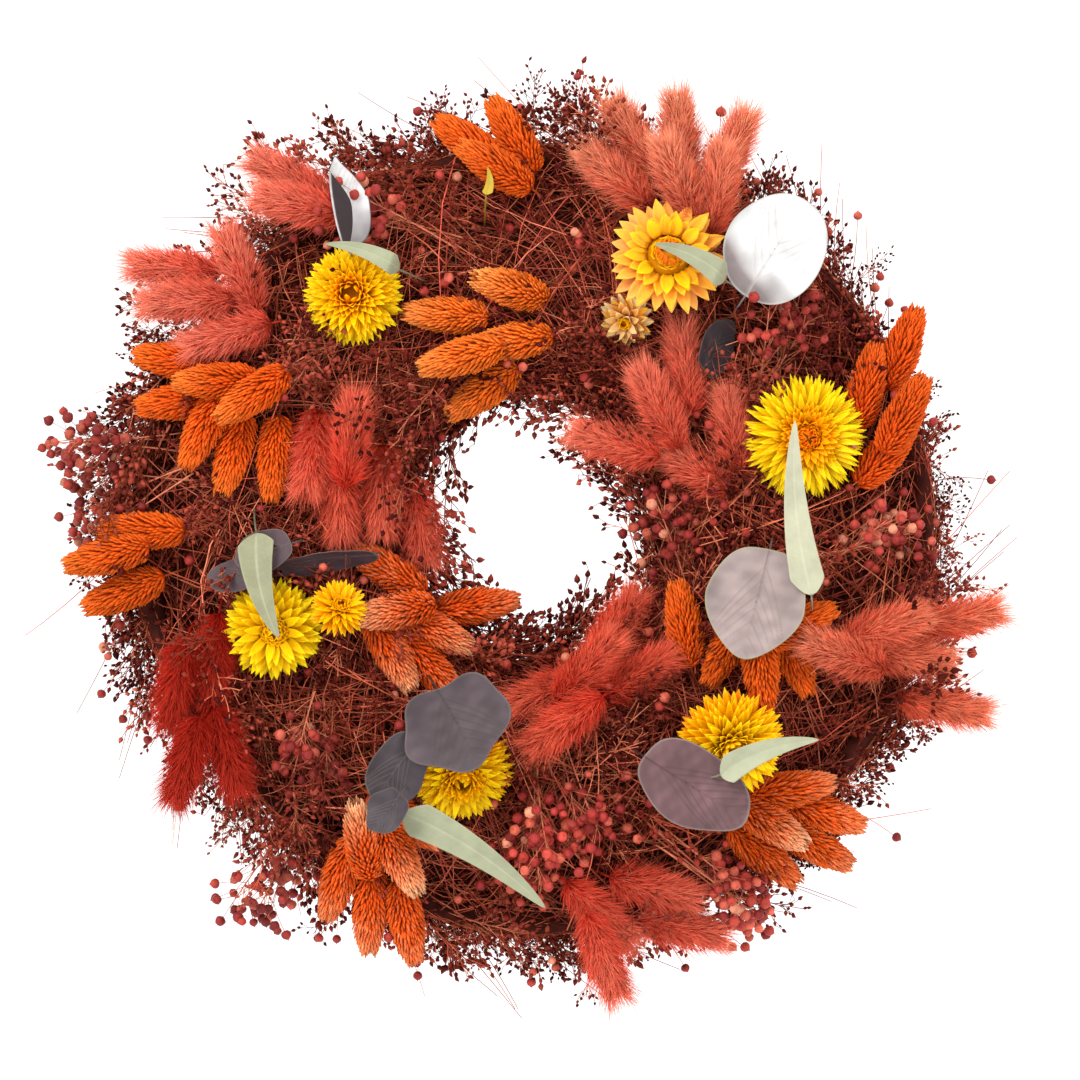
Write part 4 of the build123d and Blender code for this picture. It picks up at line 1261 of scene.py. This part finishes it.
def round_leaf(heap, points, look, seed, patch, fold, narrowing):
    """A round eucalyptus leaf dished about its CAD disc, with raised veins and a fine rim."""
    tint, rim_tint, vein_tint, stem_way, dish, ruffle = look
    middle, _, _, face = leaf_frame(points)
    target = np.array([stem_way[0], 0, stem_way[1]])
    down = unit(target - face * (target @ face))
    side = np.cross(face, down)
    lo_d, hi_d = extents(points, middle, down)
    lo_s, hi_s = extents(points, middle, side)
    rows, cols = 44, 144
    s = np.linspace(0.0, 1.0, rows)[:, None]
    turn = np.linspace(0, 2 * math.pi, cols, endpoint=False)[None, :]
    edge = 1 + 0.02 * np.sin(3 * turn + seed) + 2.2 * ruffle * np.sin(5 * turn + 2 * seed)
    u = s * np.cos(turn) * edge
    v = s * np.sin(turn) * edge
    u = u - 0.10 * s * np.cos(turn) ** 8 * (np.cos(turn) > 0)
    v = v * (1 - narrowing * np.clip(-u, 0, 1) ** 1.5)
    main = np.exp(-((v / 0.026) ** 2)) * np.clip(1.0 - (1 - u) / 1.9, 0, 1)
    veins = np.zeros_like(u)
    for k in range(1, 8):
        reach = (0.86 - 0.24 * k - u) * (0.75 + 0.06 * k)
        path = np.abs(v) - reach * (1.0 - 0.25 * np.clip(reach, 0, 1))
        veins = np.maximum(veins, np.exp(-((path / 0.020) ** 2)) * (v != 0) * (reach > 0))
    long_half, wide_half = (hi_d - lo_d) / 2, (hi_s - lo_s) / 2
    at = middle + down * (hi_d + lo_d) / 2 + side * (hi_s + lo_s) / 2
    hollow = dish * MM * (s**2 - 0.45) + ruffle * 26 * MM * s**3 * np.sin(5 * turn + 2 * seed + 1)
    place = at + down * (u * long_half)[..., None] + side * (v * wide_half)[..., None]
    wave = waves(place, 0.03, seed) * 0.5 * MM + waves(place, 0.011, seed + 1) * 0.18 * MM
    relief = 0.42 * MM * main + 0.16 * MM * veins
    turned_over = np.zeros_like(v)
    if fold is not None:
        line, angle = fold
        turned_over = np.clip((line - v) * 12, 0, 1)
        past = np.minimum(v - line, 0) * wide_half
        place = place + side * (past * (math.cos(angle) - 1))[..., None]
        hollow = hollow - past * math.sin(angle)
    top = place + face * (hollow + wave + relief)[..., None]
    under = place + face * (hollow + wave - relief * 0.5 - 0.35 * MM)[..., None]
    top[0] = top[0].mean(0)
    under[0] = under[0].mean(0)
    cloud = np.clip(0.5 + 0.5 * waves(place, 0.024, seed + 2), 0, 1)[..., None]
    blotch = np.clip(0.5 + 0.9 * waves(place, 0.008, seed + 3), 0, 1)[..., None]
    colour = np.array(tint) * (0.74 + 0.42 * cloud) * (0.86 + 0.22 * blotch)
    # The patch is painted shade over one side of the blade.
    if patch is not None:
        way, patch_tint = patch
        share = u * way[0] + v * way[1] + 0.15 * waves(place, 0.02, seed + 4)
        share = np.clip(share * 2.6 - 0.6, 0, 1)[..., None]
        colour = mix(colour, patch_tint * (0.85 + 0.3 * cloud), share)
    colour = mix(colour, vein_tint, 0.8 * np.clip(main + 0.6 * veins, 0, 1)[..., None])
    # The turned-over part takes the rim tint; the upper left leaf's near-black one is painted shade.
    colour = mix(colour, rim_tint * (0.8 + 0.4 * cloud), turned_over[..., None])
    colour = mix(colour, rim_tint, np.clip((s - 0.955) / 0.045, 0, 1)[..., None])
    # The underside gets a darker copy of the colours as painted shade.
    heap.add(*slab(*(np.concatenate([g, g[:, :1]], 1) for g in (top, under, colour, colour * 0.85))))
    stalk_base = at + down * long_half * 0.84
    add_stem(heap, stalk_base - down * 3 * MM, down, 0.4 * MM, np.array(vein_tint) * 0.7)


# Tints of blade, rim and veins, the way the stem end points (x, z), dish in millimetres, and ruffle
ROUND_LOOKS = {
    # The near-white blades of the two upper leaves are a painted highlight of glare; the upper left one's
    # near-black rim tint paints shade on its turned-over part and rim.
    "round_leaf_upper_right": (
        (0.68, 0.67, 0.66), (0.4, 0.385, 0.354), (0.385, 0.362, 0.339), (-0.5, -0.8), 3.0, 0.006,
    ),
    "round_leaf_upper_left": (
        (0.68, 0.67, 0.66), (0.03, 0.022, 0.024), (0.385, 0.354, 0.339), (0.25, -1.0), 2.0, 0.006,
    ),
    "round_leaf_right": (
        (0.285, 0.223, 0.212), (0.277, 0.262, 0.154), (0.193, 0.135, 0.127), (0.25, 0.95), 2.5, 0.004,
    ),
    "round_leaf_lower_left": (
        (0.081, 0.06, 0.066), (0.115, 0.094, 0.088), (0.052, 0.044, 0.04), (-0.5, 0.85), 3.0, 0.03,
    ),
    "round_leaf_lower_right": (
        (0.13, 0.07, 0.074), (0.208, 0.16, 0.14), (0.07, 0.034, 0.038), (-0.8, 0.5), 2.5, 0.012,
    ),
    "round_leaves_left_small": (
        (0.1, 0.068, 0.077), (0.139, 0.115, 0.092), (0.154, 0.123, 0.108), (0.9, 0.2), 2.0, 0.01,
    ),
    "round_leaf_left_edge_on": (
        (0.073, 0.045, 0.054), (0.123, 0.092, 0.077), (0.154, 0.115, 0.1), (0.9, 0.2), 2.5, 0.015,
    ),
    "round_leaves_lower_left_slate": (
        (0.065, 0.052, 0.059), (0.108, 0.092, 0.077), (0.123, 0.108, 0.092), (0.6, 0.7), 2.0, 0.02,
    ),
    "round_leaf_upper_right_slate": (
        (0.054, 0.042, 0.048), (0.092, 0.085, 0.069), (0.092, 0.085, 0.069), (-0.7, -0.5), 2.0, 0.012,
    ),
}


# Painted shade over one side of a pale leaf, as (direction on the leaf, tint)
PATCHES = {
    "round_leaf_upper_right": ((0.95, -0.3), (0.20, 0.165, 0.16)),
    "round_leaf_upper_left": ((0.8, 0.2), (0.30, 0.28, 0.28)),
}
# Leaves folded over a line, as (line, angle), and how much a leaf narrows away from its stem
FOLDS = {"round_leaf_upper_left": (-0.30, 1.75)}
NARROWINGS = {"round_leaf_upper_left": 0.80, "round_leaf_right": 0.34}

for number, (node, look) in enumerate(ROUND_LOOKS.items()):
    heap = Heap()
    for k, points in enumerate(islands(node)):
        extras = (PATCHES.get(node), FOLDS.get(node), NARROWINGS.get(node, 0.12))
        round_leaf(heap, points, look, 10 * number + k + 1, *extras)
    heap.piece(node + "_blade", ROUND_LEAF, [node])


def sickle_leaf(heap, points, tint, edge_tint, vein_tint, grows, seed, fold=0.0):
    """A long sickle leaf along its CAD blade, keeled at the midrib and turned at its tip."""
    middle, long_way, wide_way, face = leaf_frame(points)
    if long_way @ np.array([grows[0], 0, grows[1]]) < 0:
        long_way = -long_way
    lo, hi = extents(points, middle, long_way)
    cuts = np.linspace(lo + 0.5 * MM, hi - 0.5 * MM, 19)
    along = (points - middle) @ long_way
    across = (points - middle) @ wide_way
    rows, cols = 64, 17
    t = np.linspace(0, 1, rows)
    place = lo + (hi - lo) * t
    reach = (hi - lo) / 26
    low_edge, high_edge = [], []
    for cut in cuts:
        near = np.abs(along - cut) < reach
        if near.sum() < 4:
            near = np.abs(along - cut) < 3 * reach
        low_edge.append(across[near].min())
        high_edge.append(across[near].max())
    low_edge = np.interp(place, cuts, low_edge)
    high_edge = np.interp(place, cuts, high_edge)
    low_edge, high_edge = (
        np.convolve(np.pad(edge, 3, mode="edge"), np.ones(7) / 7, "valid") for edge in (low_edge, high_edge)
    )
    centre = (low_edge + high_edge) / 2
    half = (high_edge - low_edge) / 2
    taper = np.minimum(1, t / 0.10) ** 0.6 * np.power(np.clip(1 - t, 0, 1), 0.62) * 1.12
    half = np.maximum(half.max() * taper, 0.15 * MM)
    bow = 0.16 * half.max() * math.sin(seed) + 0.9 * half.max()
    centre = centre.mean() + bow * (t - 0.45) ** 2 * 2.2 * (1 if seed % 2 else -1)
    v = np.linspace(-1, 1, cols)
    keel = (np.abs(v)[None] ** 1.3) * half[:, None] * 0.22
    rib = np.exp(-((v / 0.09) ** 2))[None] * 0.45 * MM * (1 - 0.7 * t[:, None])
    slant = t[:, None] * 26 - np.abs(v)[None] * 2.4
    side_veins = np.clip(np.cos(2 * math.pi * slant) - 0.82, 0, 1) / 0.18 * (np.abs(v)[None] > 0.1)
    twist = (t[:, None] - 0.4) * 0.30 * math.sin(seed * 1.7) * v[None] * half[:, None]
    height = keel - rib * 0.6 + side_veins * 0.05 * MM + twist
    height = height + (np.sin(t * math.pi * 1.1 + seed) * 1.4 * MM)[:, None]
    aside = centre[:, None] + half[:, None] * v[None]
    place_3d = middle + long_way * place[:, None, None] + wide_way * aside[..., None]
    if fold:
        root = np.clip((0.16 - t) / 0.16, 0, 1)[:, None]
        height = height - root**1.5 * fold
    top = place_3d + face * height[..., None]
    under = top - face * 0.4 * MM
    cloud = np.clip(0.5 + 0.5 * waves(place_3d, 0.02, seed), 0, 1)[..., None]
    colour = np.array(tint) * (0.86 + 0.22 * cloud)
    line = np.clip(np.exp(-((v / 0.07) ** 2))[None] + 0.25 * side_veins, 0, 1)[..., None]
    colour = mix(colour, vein_tint, 0.7 * line)
    colour = mix(colour, edge_tint, 0.7 * np.clip((np.abs(v) - 0.86) / 0.14, 0, 1)[None, :, None])
    # The underside gets a darker copy of the colours as painted shade.
    heap.add(*slab(top, under, colour, colour * 0.82))
    base = top[0].mean(0)
    add_stem(heap, base - face * 1.2 * MM, -long_way, 0.4 * MM, np.array(tint) * 0.5)


SAGE, SAGE_EDGE, SAGE_VEIN = (0.265, 0.275, 0.175), (0.32, 0.31, 0.19), (0.34, 0.34, 0.23)
OLIVE, OLIVE_EDGE, OLIVE_VEIN = (0.38, 0.26, 0.02), (0.42, 0.29, 0.03), (0.42, 0.31, 0.05)
# Tints, the way each leaf grows (x, z), and how far its root end folds down in millimetres
SICKLE_LOOKS = {
    "sickle_leaf_upper_left": (SAGE, SAGE_EDGE, SAGE_VEIN, (-1, 0.3), 7.0),
    "sickle_leaf_top_tip": (OLIVE, OLIVE_EDGE, OLIVE_VEIN, (0, 1), 0.0),
    "sickle_leaf_upper_right": (SAGE, SAGE_EDGE, SAGE_VEIN, (-1, 0.7), 7.0),
    "sickle_leaf_right": ((0.40, 0.395, 0.275), (0.44, 0.42, 0.29), (0.45, 0.44, 0.33), (0, 1), 0.0),
    "sickle_leaf_left": ((0.235, 0.235, 0.14), SAGE_EDGE, SAGE_VEIN, (0.2, -1), 0.0),
    "sickle_leaf_bottom": (SAGE, SAGE_EDGE, SAGE_VEIN, (1, -0.6), 0.0),
    "sickle_leaf_lower_right": ((0.33, 0.34, 0.225), SAGE_EDGE, SAGE_VEIN, (1, 0.5), 0.0),
}


for number, (node, (tint, edge_tint, vein_tint, grows, fold)) in enumerate(SICKLE_LOOKS.items()):
    heap = Heap()
    for k, points in enumerate(islands(node)):
        sickle_leaf(heap, points, tint, edge_tint, vein_tint, grows, number + k + 1, fold * MM)
    heap.piece(node + "_blade", SICKLE_LEAF, [node])


# ---------------------------------------------------------------- floor, light and camera
scene = bpy.context.scene


def disc(name, centre, radius, sides=96):
    ring = rim_ways(np.arange(sides) * 2 * math.pi / sides) * radius + np.asarray(centre)
    mesh = bpy.data.meshes.new(name)
    mesh.from_pydata([tuple(p) for p in ring], [], [tuple(range(sides))])
    obj = bpy.data.objects.new(name, mesh)
    scene.collection.objects.link(obj)
    return obj


floor = disc("pale_floor", (0, 0, CENTRE[2] - 0.75), 1.6)
floor_material, nodes, links, shader = new_material("pale floor")
PALE = ((0.86, 0.86, 0.86), (0.92, 0.92, 0.92))
add_colours(nodes, links, add_noise(nodes, links, 3, 2), shader, PALE, (0, 1))
set_inputs(shader, {"Roughness": 0.9})
floor.data.materials.append(floor_material)

world = bpy.data.worlds.new("soft studio")
scene.world = world
world.use_nodes = True
set_inputs(world.node_tree.nodes["Background"], {"Color": (1, 1, 1, 1), "Strength": 1.3})
scene.view_settings.view_transform = "Standard"


def soft_light(name, place, size, power):
    data = bpy.data.lights.new(name, "AREA")
    data.size = size
    data.energy = power
    light = bpy.data.objects.new(name, data)
    scene.collection.objects.link(light)
    light.location = place
    light.rotation_euler = Vector(CENTRE - np.array(place)).to_track_quat("-Z", "Y").to_euler()


soft_light("key", (-0.9, -1.5, 0.9), 0.8, 30)
soft_light("fill", (1.3, -1.2, 0.1), 1.2, 7)

camera_data = bpy.data.cameras.new("camera")
camera = bpy.data.objects.new("camera", camera_data)
scene.collection.objects.link(camera)
DISTANCE, SHOWN_WIDTH, FACE_Y, SENSOR = 2.2, 0.432, -0.035, 36
aim = CENTRE + np.array([2, 0, -2]) * MM
camera.location = (aim[0], FACE_Y - DISTANCE, aim[2])
camera.rotation_euler = (math.pi / 2, 0, 0)
camera_data.sensor_width = SENSOR
camera_data.lens = SENSOR * DISTANCE / SHOWN_WIDTH
camera_data.clip_start = 0.05
camera_data.clip_end = 20
scene.camera = camera
